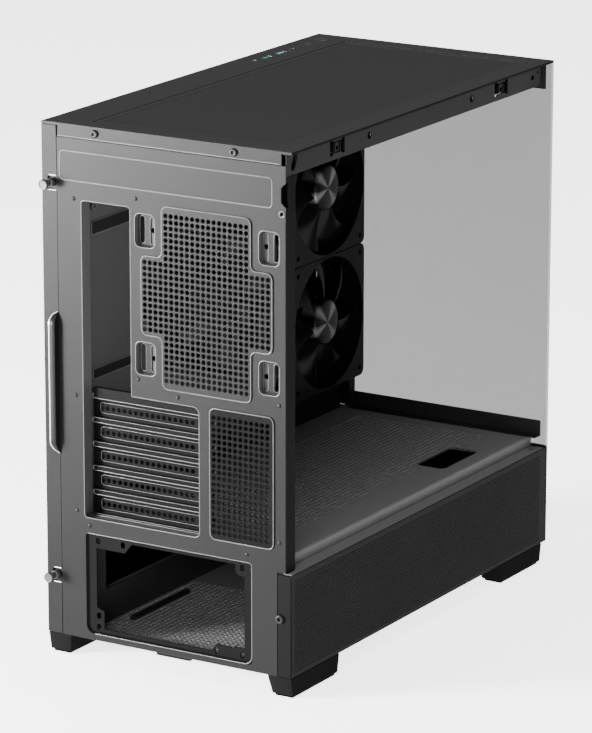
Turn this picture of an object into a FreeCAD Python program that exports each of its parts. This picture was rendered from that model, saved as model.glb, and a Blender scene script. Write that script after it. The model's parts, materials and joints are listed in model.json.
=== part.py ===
import FreeCAD, Part

import math
import os

# Desktop computer tower: a micro-ATX case with an open left side, a tinted glass front and three case fans.
# Axes: +X is the right (steel) side, +Y is the rear, +Z is up. The origin is on the floor, under the middle of
# the box that holds the case and the knobs that stand out of its rear. Millimetres throughout.
# In the sheet, x is measured from the middle of the case, heights from the underside of its steel base,
# "in" from the rear face towards the front, and "from_front" from the front face towards the rear.

SIZES = (
    ("case_width", 234.0), ("case_depth", 433.0), ("case_height", 429.5), ("foot_height", 18.0),
    ("rear_reach", 12.0), ("sheet_thick", 1.0), ("slip_gap", 0.3),
    # feet
    ("foot_width", 23.0), ("foot_length", 76.0), ("foot_taper", 3.0), ("foot_pad", 2.0),
    ("foot_front_inset", 8.0), ("foot_rear_inset", 0.5),
    # base and bottom filter
    ("tray_inset", 1.4), ("tray_flange", 12.0), ("intake_left", -72.0), ("intake_right", 84.0),
    ("intake_in", 24.0), ("intake_length", 150.0), ("rail_drop", 6.5), ("rail_web", 1.5), ("rail_lip", 3.0),
    ("rail_in", 17.0), ("filter_length", 165.0), ("filter_thick", 3.6), ("filter_border", 7.0),
    ("filter_skin", 0.6), ("rib_width", 5.0), ("rib_height", 3.0), ("rib_x", 69.5), ("rib_in", 57.0),
    ("rib_length", 87.0),
    # rear plate
    ("plate_left", -111.9), ("plate_right", 102.4), ("lip_height", 10.8), ("strip_setback", 3.5),
    ("pillar_depth", 14.6), ("mesh_top", 87.2), ("window_left", -31.3), ("window_right", 79.4),
    ("io_left", 32.7), ("io_top", 368.6), ("io_bottom", 212.7), ("slots_bottom", 104.0), ("recess_depth", 12.5),
    ("band_left", -99.5), ("band_right", 99.5), ("band_bottom", 383.7), ("band_top", 407.6), ("band_rise", 0.6),
    ("emboss_rise", 1.2), ("keyhole_x", -108.2), ("keyhole_up", 379.7), ("key_slot_top", 402.7),
    # rear fan grille: a tall middle block and a wider, shorter block, both centred on the fan
    ("fan_x", -38.9), ("fan_up", 298.3), ("grille_half_tall", 74.7), ("grille_half_narrow", 41.3),
    ("grille_half_wide", 61.0), ("grille_half_short", 32.5), ("hole_pitch", 5.0), ("hole_radius", 1.55),
    ("pocket_centre_x", 57.8), ("pocket_centre_z", 52.5), ("pocket_width", 18.6), ("pocket_tall", 27.0),
    ("pocket_depth", 3.8), ("slot_radius", 2.2), ("slot_length", 22.0),
    ("fan_holes_small", 105.0), ("fan_holes_large", 124.5),
    # rear vent
    ("vent_left", -101.0), ("vent_right", -41.8), ("vent_bottom", 105.7), ("vent_top", 214.3),
    # expansion slots
    ("slot_top", 195.3), ("slot_pitch", 20.32), ("cover_height", 17.4), ("cover_left", -29.5),
    ("cover_right", 78.0), ("cover_hole_first", -17.6), ("cover_hole_pitch", 5.4), ("cover_hole_radius", 1.4),
    ("bar_height", 2.2), ("bar_depth", 3.5), ("tab_length", 11.0),
    # power-supply panel in the rear
    ("psu_left", -80.3), ("psu_right", 78.5), ("psu_bottom", 5.5), ("psu_top", 91.0), ("psu_recess", 2.0),
    ("psu_open_left", -71.9), ("psu_open_right", 69.5), ("psu_open_bottom", 10.2), ("psu_open_top", 86.9),
    ("psu_centre_x", -1.1), ("psu_centre_up", 48.0), ("psu_holes_x", 138.0), ("psu_holes_z", 74.0),
    ("psu_holes_inner", 114.0), ("psu_holes_low", 64.0), ("psu_hole_radius", 2.0), ("ear_size", 8.0),
    ("ear_upper_x", 37.0), ("ear_lower_x", -40.0), ("ear_right_up", 27.0), ("ear_left_up", 17.0),
    # top
    ("top_thick", 2.0), ("filter_left", -102.5), ("filter_right", 79.0), ("filter_from_front", 20.0),
    ("filter_in", 18.0), ("filter_recess", 1.2), ("top_fan_x", -12.0), ("top_fan_pitch", 122.0),
    ("top_fan_opening", 56.0), ("screw_hole_radius", 2.2),
    ("rail_x", -112.0), ("rail_bottom", 409.6), ("rail_flange", 12.0),
    ("socket_up", 419.5), ("socket_rear_in", 78.4), ("socket_front_in", 348.4), ("socket_radius", 3.0),
    ("socket_length", 22.0), ("socket_tall", 10.0), ("socket_depth", 7.0),
    ("pill_in", 12.5), ("pill_length", 9.0),
    # inside
    ("tray_x", 86.0), ("tray_from_front", 134.0), ("standoff_height", 6.5), ("standoff_radius", 3.0),
    ("standoff_bore", 1.6), ("board_top", 360.0), ("board_in", 20.0),
    ("shroud_top", 96.0), ("shroud_left", -103.0), ("shroud_step", 10.0), ("mesh_left", -70.0),
    ("mesh_right", 57.0), ("mesh_from_front", 28.0), ("mesh_in", 80.0), ("cable_left", -89.6),
    ("cable_right", -63.5), ("cable_from_front", 76.4), ("cable_length", 61.5),
    # front
    ("glass_thick", 4.0), ("glass_bottom", 87.2), ("band_depth", 10.0), ("top_band", 23.0),
    ("bottom_band", 22.0), ("pillar_left", 76.0), ("panel_wall", 2.0),
    # right side panel
    ("flange_width", 14.3), ("grip_bottom", 155.0), ("grip_top", 274.0), ("grip_rise", 5.5),
    ("grip_width", 6.3), ("grip_slope", 8.0), ("knob_x", 108.4), ("knob_upper", 380.0), ("knob_lower", 50.5),
    ("knob_radius", 4.1), ("knob_length", 3.6), ("neck_radius", 2.9), ("shank_radius", 1.76),
    ("shank_hole", 1.84), ("shank_length", 9.0), ("notch_width", 10.0), ("notch_height", 12.0),
    # lower left panel
    ("left_flange", 12.6), ("left_screw_x", -106.8), ("left_screw_up", 48.9), ("left_head_radius", 3.8),
    # fans
    ("fan_size", 120.0), ("fan_thick", 25.0), ("fan_bore", 58.0), ("fan_wall", 1.8), ("fan_plate", 4.0),
    ("hub_radius", 20.5), ("blade_tip", 56.3), ("blade_count", 7.0), ("motor_radius", 17.0),
    ("shaft_radius", 1.5), ("bearing_radius", 1.55), ("strut_width", 5.0), ("strut_thick", 3.0),
    ("side_fan_in", 356.8), ("side_fan_low", 190.9), ("side_fan_high", 311.2),
    ("side_fan_x", 60.0), ("pad_thick", 0.8), ("pad_tall", 26.0), ("pad_width", 17.0),
    # controls and sockets on the top
    ("strip_x", 100.2), ("power_from_front", 21.8), ("reset_from_front", 45.5), ("usb_c_from_front", 74.5),
    ("usb_a_from_front", 92.0), ("usb_b_from_front", 115.7), ("jack_from_front", 134.2),
    ("power_radius", 5.8), ("reset_radius", 2.8), ("button_gap", 0.4), ("button_thick", 6.0),
    ("button_flange", 1.2), ("usb_a_long", 13.1), ("usb_a_short", 5.7), ("usb_c_long", 8.9),
    ("usb_c_short", 3.3), ("usb_wall", 0.4), ("jack_radius", 3.0), ("jack_bore", 1.75),
    ("socket_drop", 14.0), ("housing_width", 22.0), ("housing_from_front", 12.0), ("housing_length", 132.0),
    ("housing_floor", 2.0), ("housing_drop", 18.0),
    # drives
    ("cage_left", -30.0), ("cage_width", 112.0), ("cage_from_front", 14.0), ("cage_length", 150.0),
    ("cage_height", 58.0), ("drive_tray_width", 106.0), ("drive_tray_length", 146.0), ("drive_tray_tall", 24.0),
    ("drive_tray_up", 5.0), ("drive_holes_x", 95.25), ("drive_holes_y", 44.45),
    ("ssd_width", 100.0), ("ssd_tall", 72.0), ("ssd_holes_y", 76.6), ("ssd_holes_z", 61.72),
    ("ssd_in", 180.0), ("ssd_up", 130.0), ("ssd_gap", 5.0), ("small_hole_radius", 1.7),
)

RIVETS = ((86.6, 206.1), (87.0, 108.8), (74.7, 97.4), (26.3, 227.7), (-11.3, 218.2), (86.6, 369.0),
          (27.3, 376.0), (-75.7, 97.4), (-106.0, 112.0), (-106.0, 225.0))
LID_SCREW_XS = (65.7, -64.5)

# The sockets on the top: their place, long side and short side, as aliases.
SOCKETS = (("usb_c_from_front", "usb_c_long", "usb_c_short"), ("usb_a_from_front", "usb_a_long", "usb_a_short"),
           ("usb_b_from_front", "usb_a_long", "usb_a_short"))
RIVET_RADIUS = 1.9
RIVET_RISE = 0.7
SCREW_HEAD_RADIUS = 3.4
SCREW_HEAD_HEIGHT = 2.0

# A fan blade's sections: share of the way out, sweep in degrees, pitch in degrees, chord.
BLADE_SECTIONS = ((0.0, 0.0, 46.0, 20.0), (0.5, 9.0, 34.0, 30.0), (1.05, 24.0, 25.0, 40.0))
BLADE_HALF_THICK = 0.7
BLADE_MIDDLE = 11.0

doc = FreeCAD.newDocument("tower")
sheet = doc.addObject("Spreadsheet::Sheet", "Sizes")
for row, (alias, number) in enumerate(SIZES, start=1):
    sheet.set("A%d" % row, alias)
    sheet.set("B%d" % row, str(number))
    sheet.setAlias("B%d" % row, alias)
doc.recompute()

published = []


# ---------------------------------------------------------------- helpers
def size(alias):
    """The number in a sheet cell."""
    return float(sheet.get(alias))


def cell(alias):
    """The expression that reads a sheet cell."""
    return "Sizes." + alias


def with_cells(text):
    """Turn bare aliases in an expression into sheet references."""
    words = text.replace("(", " ( ").replace(")", " ) ").split()
    aliases = [alias for alias, _ in SIZES]
    return " ".join(cell(word) if word in aliases else word for word in words)


def value(text):
    """The number that an expression of aliases stands for."""
    names = {alias: number for alias, number in SIZES}
    words = text.replace("(", " ( ").replace(")", " ) ").split()
    plain = " ".join(repr(names[word]) if word in names else word for word in words)
    return float(FreeCAD.Units.parseQuantity(plain).Value)


def up(text):
    """Height above the floor of a height above the base."""
    return "foot_height + (%s)" % text


def rear(text="0"):
    """Y of a place that is this far in from the rear face."""
    return "(case_depth - rear_reach) / 2 - (%s)" % text


def front(text="0"):
    """Y of a place that is this far behind the front face."""
    return "(0 - case_depth - rear_reach) / 2 + (%s)" % text


LEFT = "0 - case_width / 2"
RIGHT = "case_width / 2"


def bind(obj, **properties):
    """Bind properties of an object to expressions of sheet aliases."""
    for name, text in properties.items():
        obj.setExpression(name.replace("__", "."), with_cells(text))


def place(obj, x, y, z):
    """Bind the position of an object to expressions."""
    bind(obj, Placement__Base__x=x, Placement__Base__y=y, Placement__Base__z=z)


def box(low, high, name="Box"):
    """A box between two corners, each three expressions."""
    obj = doc.addObject("Part::Box", name)
    bind(obj, Length="(%s) - (%s)" % (high[0], low[0]), Width="(%s) - (%s)" % (high[1], low[1]),
         Height="(%s) - (%s)" % (high[2], low[2]))
    place(obj, *low)
    return obj


TURNS = {
    "+X": FreeCAD.Rotation(FreeCAD.Vector(0, 1, 0), 90),
    "-X": FreeCAD.Rotation(FreeCAD.Vector(0, 1, 0), -90),
    "+Y": FreeCAD.Rotation(FreeCAD.Vector(1, 0, 0), -90),
    "-Y": FreeCAD.Rotation(FreeCAD.Vector(1, 0, 0), 90),
    "+Z": FreeCAD.Rotation(),
    "-Z": FreeCAD.Rotation(FreeCAD.Vector(1, 0, 0), 180),
}


def rod(axis, radius, length, at, name="Rod"):
    """A cylinder that starts at a point and runs along a row axis."""
    obj = doc.addObject("Part::Cylinder", name)
    obj.Placement.Rotation = TURNS[axis]
    bind(obj, Radius=radius, Height=length)
    place(obj, *at)
    return obj


def fuse(parts, name="Fuse"):
    """One solid, or one group of solids, from several."""
    if len(parts) == 1:
        return parts[0]
    obj = doc.addObject("Part::MultiFuse", name)
    obj.Shapes = parts
    return obj


def cut(base, tools, name="Cut"):
    """A solid with the tools taken out of it."""
    obj = doc.addObject("Part::Cut", name)
    obj.Base = base
    obj.Tool = fuse(tools)
    return obj


def holes_y(points, radius, start, length):
    """Many round holes along Y, as one tool made of separate cylinders."""
    obj = doc.addObject("Part::Feature", "Holes")
    turn = FreeCAD.Vector(0, 1, 0)
    obj.Shape = Part.makeCompound(
        [Part.makeCylinder(radius, length, FreeCAD.Vector(x, start, z), turn) for x, z in points])
    return obj


def publish(obj, label):
    """Name a finished sub-part; its file takes this name."""
    obj.Label = label
    published.append(obj)
    return obj


def grid(columns, rows, pitch_x, pitch_z, centre_x, centre_z):
    """Points of a regular grid about a centre."""
    return [(centre_x + (column - (columns - 1) / 2) * pitch_x, centre_z + (row - (rows - 1) / 2) * pitch_z)
            for column in range(columns) for row in range(rows)]


# ---------------------------------------------------------------- feet
def make_feet():
    """Four tapered feet, and the four rubber pads under them."""
    pads = []
    sides = {"left": (LEFT, "0", "foot_width - foot_taper"),
             "right": (RIGHT + " - foot_width", "foot_taper", "foot_width")}
    ends = {"rear": rear("foot_length + foot_rear_inset"), "front": front("foot_front_inset")}
    for end, y in ends.items():
        for side, (x, foot_low, foot_high) in sides.items():
            foot = doc.addObject("Part::Wedge", "Foot")
            foot.Placement.Rotation = TURNS["+Y"]
            bind(foot, Xmin="0", Xmax="foot_width", Zmin="0", Zmax="foot_length", Ymin="0",
                 Ymax="foot_height - foot_pad", X2min=foot_low, X2max=foot_high, Z2min="foot_taper",
                 Z2max="foot_length - foot_taper")
            place(foot, x, y, "foot_height")
            publish(foot, "foot_%s_%s" % (end, side))
            pads.append(box(
                (x + " + " + foot_low + " + 2", y + " + foot_taper + 2", "0"),
                (x + " + " + foot_high + " - 2", y + " + foot_length - foot_taper - 2", "foot_pad")))
    publish(fuse(pads), "foot_pads")


# ---------------------------------------------------------------- base
def make_base():
    """Steel floor with side flanges, the intake opening and the rails of the bottom filter."""
    left = LEFT + " + tray_inset"
    right = RIGHT + " - tray_inset"
    y_low, y_high = front("glass_thick"), rear("strip_setback")
    floor = box((left, y_low, "foot_height"), (right, y_high, up("sheet_thick")))
    sides = [box((x, y_low, "foot_height"), (x + " + sheet_thick", y_high, up("tray_flange")))
             for x in (left, right + " - sheet_thick")]
    opening = box(("intake_left", rear("intake_in + intake_length"), "foot_height - 5"),
                  ("intake_right", rear("intake_in"), "foot_height + 5"))
    tray = cut(fuse([floor] + sides), [opening])
    rails = []
    for x, lip in (("intake_left - 6", "0"), ("intake_right + 6 - rail_web", "0 - rail_lip")):
        y_rail = (rear("rail_in + filter_length"), rear("rail_in"))
        rails.append(box((x, y_rail[0], "foot_height - rail_drop"),
                         (x + " + rail_web", y_rail[1], "foot_height")))
        rails.append(box((x + " + " + lip, y_rail[0], "foot_height - rail_drop"),
                         (x + " + " + lip + " + rail_web + rail_lip", y_rail[1],
                          "foot_height - rail_drop + sheet_thick")))
    publish(fuse([tray] + rails), "base_tray")

    mesh = box(("intake_left", rear("intake_in + intake_length"), "foot_height"),
               ("intake_right", rear("intake_in"), up("sheet_thick")))
    rib = box(("rib_x", rear("rib_in + rib_length"), up("sheet_thick")),
              ("rib_x + rib_width", rear("rib_in"), up("sheet_thick + rib_height")))
    publish(fuse([mesh, rib]), "intake_floor")


def make_bottom_filter():
    """Framed filter that slides out rearwards between the rails, with a pull tab."""
    x = ("intake_left - 6 + rail_web + slip_gap", "intake_right + 6 - rail_web - slip_gap")
    y = (rear("rail_in + filter_length"), rear("rail_in"))
    z_low = "foot_height - rail_drop + sheet_thick + slip_gap"
    frame = box((x[0], y[0], z_low), (x[1], y[1], z_low + " + filter_thick"))
    window = box((x[0] + " + filter_border", y[0] + " + filter_border", z_low + " + filter_skin"),
                 (x[1] + " - filter_border", y[1] + " - filter_border", z_low + " + filter_thick + 1"))
    tab = box(("0 - 16", y[1], z_low), ("16", y[1] + " + 9", z_low + " + filter_thick / 2"))
    publish(fuse([cut(frame, [window]), tab]), "bottom_dust_filter")


# ---------------------------------------------------------------- rear
def cross_boxes(grow, y_low, y_high):
    """The two boxes of the grille's cross shape, grown by this much on every side."""
    boxes = []
    for half_x, half_z in (("grille_half_narrow", "grille_half_tall"),
                           ("grille_half_wide", "grille_half_short")):
        boxes.append(box(
            ("fan_x - %s - %s" % (half_x, grow), y_low, up("fan_up - %s - %s" % (half_z, grow))),
            ("fan_x + %s + %s" % (half_x, grow), y_high, up("fan_up + %s + %s" % (half_z, grow)))))
    return boxes


def pocket_centres():
    """Centres of the four screw pockets, as expressions."""
    return [("fan_x %s pocket_centre_x" % sx, "fan_up %s pocket_centre_z" % sz) for sx in "+-" for sz in "+-"]


def make_rear_plate():
    """Folded rear sheet: openings, four sunk screw pockets, two set-back strips and the left pillar."""
    outer, inner = rear(), rear("sheet_thick")
    top = up("case_height - lip_height - slip_gap")
    plate = box(("plate_left", inner, up("mesh_top")), ("plate_right", outer, top))
    low_plate = box(("0 - case_width / 2 + left_flange + slip_gap", inner, "foot_height"),
                    ("plate_right", outer, up("mesh_top")))
    pillar = box(("plate_left", rear("pillar_depth"), up("mesh_top")),
                 ("plate_left + sheet_thick", outer, up("rail_bottom - slip_gap")))
    strips = []
    for x_low, x_high, z_high in ((RIGHT + " - flange_width - 2", RIGHT + " - tray_inset", "case_height - 4"),
                                  (LEFT + " + tray_inset", LEFT + " + left_flange + 2", "mesh_top - 3")):
        strips.append(box((x_low, rear("strip_setback"), "foot_height"),
                          (x_high, rear("strip_setback - sheet_thick"), up(z_high))))
    webs = [box((x, rear("strip_setback"), "foot_height"), (x + " + sheet_thick", outer, z_high))
            for x, z_high in (("plate_right - sheet_thick", top),
                              ("0 - case_width / 2 + left_flange + slip_gap", up("mesh_top - 3")))]
    cups = [box((x + " - pocket_width / 2 - sheet_thick", rear("pocket_depth + sheet_thick"),
                 up(z + " - pocket_tall / 2 - sheet_thick")),
                (x + " + pocket_width / 2 + sheet_thick", outer, up(z + " + pocket_tall / 2 + sheet_thick")))
            for x, z in pocket_centres()]
    band = box(("band_left", inner, up("band_bottom")), ("band_right", outer + " + band_rise", up("band_top")))
    sheet_metal = fuse([plate, low_plate, pillar, band] + strips + webs + cups)

    tools = [
        box(("io_left", rear("9"), up("io_bottom - 1")), ("window_right", outer + " + 5", up("io_top"))),
        box(("window_left", rear("9"), up("slots_bottom")), ("window_right", outer + " + 5", up("io_bottom"))),
        box(("vent_left", rear("9"), up("vent_bottom")), ("vent_right", outer + " + 5", up("vent_top"))),
        box(("psu_left", rear("9"), up("psu_bottom")), ("psu_right", outer + " + 5", up("psu_top"))),
        box(("plate_left - 5", rear("2"), up("band_bottom + 3")),
            ("plate_left + 4", outer + " + 5", up("key_slot_top"))),
    ]
    tools += cross_boxes("0", rear("9"), outer + " + 5")
    for x, z in pocket_centres():
        tools.append(box((x + " - pocket_width / 2", rear("pocket_depth"), up(z + " - pocket_tall / 2")),
                         (x + " + pocket_width / 2", outer + " + 5", up(z + " + pocket_tall / 2"))))
    for side in "+-":
        for holes in ("fan_holes_small", "fan_holes_large"):
            for vertical in "+-":
                tools += tall_slot("fan_x %s %s / 2" % (side, holes), "fan_up %s fan_holes_small / 2" % vertical)
    tools.append(rod("+Y", "small_hole_radius", "8", ("keyhole_x", rear("4"), up("keyhole_up"))))
    for x, z in (("knob_x", "knob_upper"), ("knob_x", "knob_lower"), ("left_screw_x", "left_screw_up")):
        tools.append(rod("+Y", "shank_hole", "8", (x, rear("strip_setback + 3"), up(z))))
    for x in LID_SCREW_XS:
        tools.append(rod("+Y", "small_hole_radius", "8", (str(x), rear("7"), up("case_height - 14.5"))))
    publish(cut(sheet_metal, tools), "rear_plate")


def tall_slot(x, z):
    """Cutting tools for one upright screw slot in a pocket floor."""
    y = rear("pocket_depth + 4")
    half = "(slot_length / 2 - slot_radius)"
    return [box((x + " - slot_radius", y, up(z + " - " + half)), (x + " + slot_radius", y + " + 6",
                                                                 up(z + " + " + half))),
            rod("+Y", "slot_radius", "6", (x, y, up(z + " - " + half))),
            rod("+Y", "slot_radius", "6", (x, y, up(z + " + " + half)))]


def make_rear_grilles():
    """Raised perforated panels in front of the rear fan and beside the slots."""
    outer = rear()
    rim = cross_boxes("0", rear("sheet_thick"), outer + " + emboss_rise")
    hollow = cross_boxes("0 - sheet_thick", rear("sheet_thick + 1"), outer + " + emboss_rise - sheet_thick")
    shell = cut(fuse(rim), hollow)
    pitch = size("hole_pitch")
    middle = grid(16, 28, pitch, pitch, size("fan_x"), size("foot_height") + size("fan_up"))
    wings = [point for point in grid(24, 12, pitch, pitch, size("fan_x"), size("foot_height") + size("fan_up"))
             if abs(point[0] - size("fan_x")) > 8 * pitch]
    start = value(rear("4"))
    holes = holes_y(middle + wings, size("hole_radius"), start, 10)
    publish(cut(shell, [holes]), "rear_fan_grille")

    vent = box(("vent_left", rear("sheet_thick"), up("vent_bottom")),
               ("vent_right", outer + " + emboss_rise", up("vent_top")))
    behind = box(("vent_left + sheet_thick", rear("sheet_thick + 1"), up("vent_bottom + sheet_thick")),
                 ("vent_right - sheet_thick", outer + " + emboss_rise - sheet_thick", up("vent_top - sheet_thick")))
    points = grid(11, 20, pitch, pitch, value("(vent_left + vent_right) / 2") + 0.8,
                  value(up("(vent_bottom + vent_top) / 2")) - 0.5)
    publish(cut(cut(vent, [behind]), [holes_y(points, size("hole_radius"), start, 10)]), "rear_vent_grille")


def make_psu_panel():
    """Sunk panel that the power supply screws to: an opening with four screw ears and a folded rim."""
    low = ("psu_left", rear("psu_recess + sheet_thick"), up("psu_bottom"))
    high = ("psu_right", rear(), up("psu_top"))
    tray = cut(box(low, high), [
        box(("psu_left + sheet_thick", rear("psu_recess"), up("psu_bottom + sheet_thick")),
            ("psu_right - sheet_thick", rear("0 - 3"), up("psu_top - sheet_thick"))),
        box(("psu_open_left", rear("9"), up("psu_open_bottom")), ("psu_open_right", rear("0 - 3"),
                                                                  up("psu_open_top")))])
    plate = (rear("psu_recess + sheet_thick"), rear("psu_recess"))
    ears = [
        box(("ear_upper_x", plate[0], up("psu_open_top - ear_size")),
            ("psu_open_right", plate[1], up("psu_open_top"))),
        box(("psu_open_right - ear_size + 1", plate[0], up("psu_open_bottom")),
            ("psu_open_right", plate[1], up("ear_right_up"))),
        box(("psu_open_left", plate[0], up("psu_open_bottom")), ("ear_lower_x", plate[1], up("ear_left_up"))),
        box(("psu_open_left", plate[0], up("psu_open_top - ear_size")),
            ("psu_open_left + ear_size", plate[1], up("psu_open_top")))]
    centre = ("psu_centre_x", "psu_centre_up")
    spots = [(centre[0] + " %s psu_holes_x / 2" % sx, centre[1] + " %s psu_holes_z / 2" % sz)
             for sx in "+-" for sz in "+-"]
    spots += [(centre[0] + " + psu_holes_x / 2", centre[1] + " + psu_holes_z / 2 - psu_holes_low"),
              (centre[0] + " - psu_holes_x / 2 + psu_holes_inner", centre[1] + " + psu_holes_z / 2"),
              (centre[0] + " + psu_holes_x / 2 - psu_holes_inner", centre[1] + " - psu_holes_z / 2")]
    holes = [rod("+Y", "psu_hole_radius", "10", (x, rear("7"), up(z))) for x, z in spots]
    publish(cut(fuse([tray] + ears), holes), "psu_rear_panel")


def make_slots():
    """Sunk frame of the rear window, with ribs between the expansion slots, and five vented covers."""
    deep, outer = rear("recess_depth"), rear("sheet_thick")
    wall = "sheet_thick"
    io_low, slots_low = up("io_bottom"), up("slots_bottom")
    walls = [
        box(("window_right", deep, slots_low + " - " + wall),
            ("window_right + " + wall, outer, up("io_top + 1"))),
        box(("io_left - " + wall, deep, io_low + " + " + wall), ("io_left", outer, up("io_top + 1"))),
        box(("io_left", deep, up("io_top")), ("window_right", outer, up("io_top + 1"))),
        box(("window_left - " + wall, deep, slots_low + " - " + wall),
            ("window_left", outer, io_low + " + " + wall)),
        box(("window_left", deep, slots_low + " - " + wall), ("window_right", outer, slots_low)),
        box(("window_left", deep, io_low), ("io_left", outer, io_low + " + " + wall)),
    ]
    for number in range(6):
        z = up("slot_top + slot_pitch / 2 - slot_pitch * %d" % number)
        if number == 0:
            walls.append(box(("window_left", deep, z + " - bar_height / 2"), ("window_right",
                             deep + " + bar_depth", io_low)))
        else:
            walls.append(box(("window_left", deep, z + " - bar_height / 2"),
                             ("window_right", deep + " + bar_depth", z + " + bar_height / 2")))
    publish(fuse(walls), "slot_frame")

    screws = []
    columns = 17
    for number in range(5):
        z = "slot_top - slot_pitch * %d" % number
        cover = fuse([
            box(("cover_left", deep + " - sheet_thick", up(z + " - cover_height / 2")),
                ("cover_right", deep, up(z + " + cover_height / 2"))),
            box(("cover_left", deep + " - sheet_thick - tab_length", up(z + " - cover_height / 2")),
                ("cover_left + sheet_thick", deep, up(z + " + cover_height / 2")))])
        first = size("cover_hole_first")
        height = value(up(z))
        points = [(first + size("cover_hole_pitch") * column, height) for column in range(columns)]
        vents = holes_y(points, size("cover_hole_radius"), value(deep) - 5, 10)
        bolt = rod("+X", "shank_hole", "6", ("cover_left - 2", deep + " - tab_length / 2 - 1", up(z)))
        publish(cut(cover, [vents, bolt]), "slot_cover_%d" % (number + 1))
        at_y = deep + " - tab_length / 2 - 1"
        screws.append(fuse([
            rod("+X", "shank_radius", "7", ("cover_left + sheet_thick - 6", at_y, up(z))),
            rod("+X", "3.2", "3", ("cover_left + sheet_thick", at_y, up(z)))]))
    publish(fuse(screws), "slot_screws")


def make_rivets():
    """Domed rivet heads on the rear plate, and the two screws that hold the top's rear lip."""
    heads = []
    for x, z in RIVETS:
        head = doc.addObject("Part::Cone", "Rivet")
        head.Placement.Rotation = TURNS["+Y"]
        head.Radius1, head.Radius2, head.Height = RIVET_RADIUS, RIVET_RADIUS * 0.6, RIVET_RISE
        place(head, str(x), rear(), up(str(z)))
        heads.append(head)
    publish(fuse(heads), "rivets")
    screws = [fuse([rod("+Y", str(SCREW_HEAD_RADIUS), str(SCREW_HEAD_HEIGHT),
                        (str(x), rear(), up("case_height - 5.4"))),
                    rod("+Y", "1.5", "5", (str(x), rear("5"), up("case_height - 5.4")))]) for x in LID_SCREW_XS]
    publish(fuse(screws), "lid_screws")


# ---------------------------------------------------------------- top
def make_top():
    """Top plate with a rear lip, a shallow filter recess, two fan openings and the holes for the controls."""
    low, high = up("case_height - top_thick"), up("case_height")
    plate = box((LEFT, front(), low), (RIGHT, rear(), high))
    lip = box(("plate_left + 4", rear("sheet_thick"), up("case_height - lip_height")),
              ("plate_right - 1", rear(), low))
    recess = box(("filter_left - slip_gap", front("filter_from_front - slip_gap"), high + " - filter_recess"),
                 ("filter_right + slip_gap", rear("filter_in - slip_gap"), high + " + 3"))
    tools = [recess]
    for number in (0, 1, 2):
        y = front("filter_from_front + 78 + top_fan_pitch * %d" % number)
        tools.append(rod("+Z", "top_fan_opening", "20", ("top_fan_x", y, low + " - 8")))
        for sx in "+-":
            for sy in "+-":
                tools.append(rod("+Z", "screw_hole_radius", "20", (
                    "top_fan_x %s fan_holes_small / 2" % sx, y + " %s fan_holes_small / 2" % sy, low + " - 8")))
    down = (high + " - 12")
    for place_name, radius in (("power_from_front", "power_radius + button_gap"),
                               ("reset_from_front", "reset_radius + button_gap"),
                               ("jack_from_front", "jack_radius")):
        tools.append(rod("+Z", radius, "20", ("strip_x", front(place_name), down)))
    for place_name, long_side, short_side in SOCKETS:
        tools.append(box(("strip_x - %s / 2" % short_side, front("%s - %s / 2" % (place_name, long_side)), down),
                         ("strip_x + %s / 2" % short_side, front("%s + %s / 2" % (place_name, long_side)),
                          high + " + 3")))
    for x in LID_SCREW_XS:
        tools.append(rod("+Y", "1.5", "12", (str(x), rear("7"), up("case_height - 5.4"))))
    publish(cut(fuse([plate, lip]), tools), "top_plate")

    skin = box(("filter_left", front("filter_from_front"), high + " - filter_recess + 0.1"),
               ("filter_right", rear("filter_in"), high + " - 0.1"))
    publish(skin, "top_dust_filter")


def make_left_rail():
    """Rail under the top's left edge, with the two sockets that the side panel's studs snap into."""
    low, high = up("rail_bottom"), up("case_height - top_thick")
    y_low, y_high = front("glass_thick + band_depth + slip_gap"), rear("sheet_thick + slip_gap")
    web = box(("rail_x", y_low, low), ("rail_x + sheet_thick", y_high, high))
    flange = box(("rail_x", y_low, high + " - sheet_thick"), ("rail_x + rail_flange", y_high, high))
    tools, sockets = [], []
    for place_name in ("socket_rear_in", "socket_front_in"):
        y = rear(place_name)
        tools.append(box(("rail_x - 2", y + " - socket_length / 2", up("socket_up - socket_tall / 2")),
                         ("rail_x + 4", y + " + socket_length / 2", up("socket_up + socket_tall / 2"))))
        body = box(("rail_x - 0.6", y + " - socket_length / 2", up("socket_up - socket_tall / 2")),
                   ("rail_x + socket_depth", y + " + socket_length / 2",
                    up("socket_up + socket_tall / 2 - sheet_thick - 1")))
        bore = rod("+X", "socket_radius", "socket_depth + 4", ("rail_x - 2", y, up("socket_up - 1")))
        sockets.append(cut(body, [bore]))
    for place_name in ("socket_rear_in + 50.3", "socket_front_in - 51.2"):
        tools.append(rod("+X", "screw_hole_radius", "8", ("rail_x - 3", rear(place_name), up("socket_up"))))
    tools.append(box(("rail_x - 2", rear("pill_in + pill_length / 2"), up("socket_up - 1.5")),
                     ("rail_x + 4", rear("pill_in - pill_length / 2"), up("socket_up + 1.5"))))
    publish(cut(fuse([web, flange]), tools), "top_left_rail")
    publish(fuse(sockets), "panel_sockets")


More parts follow.
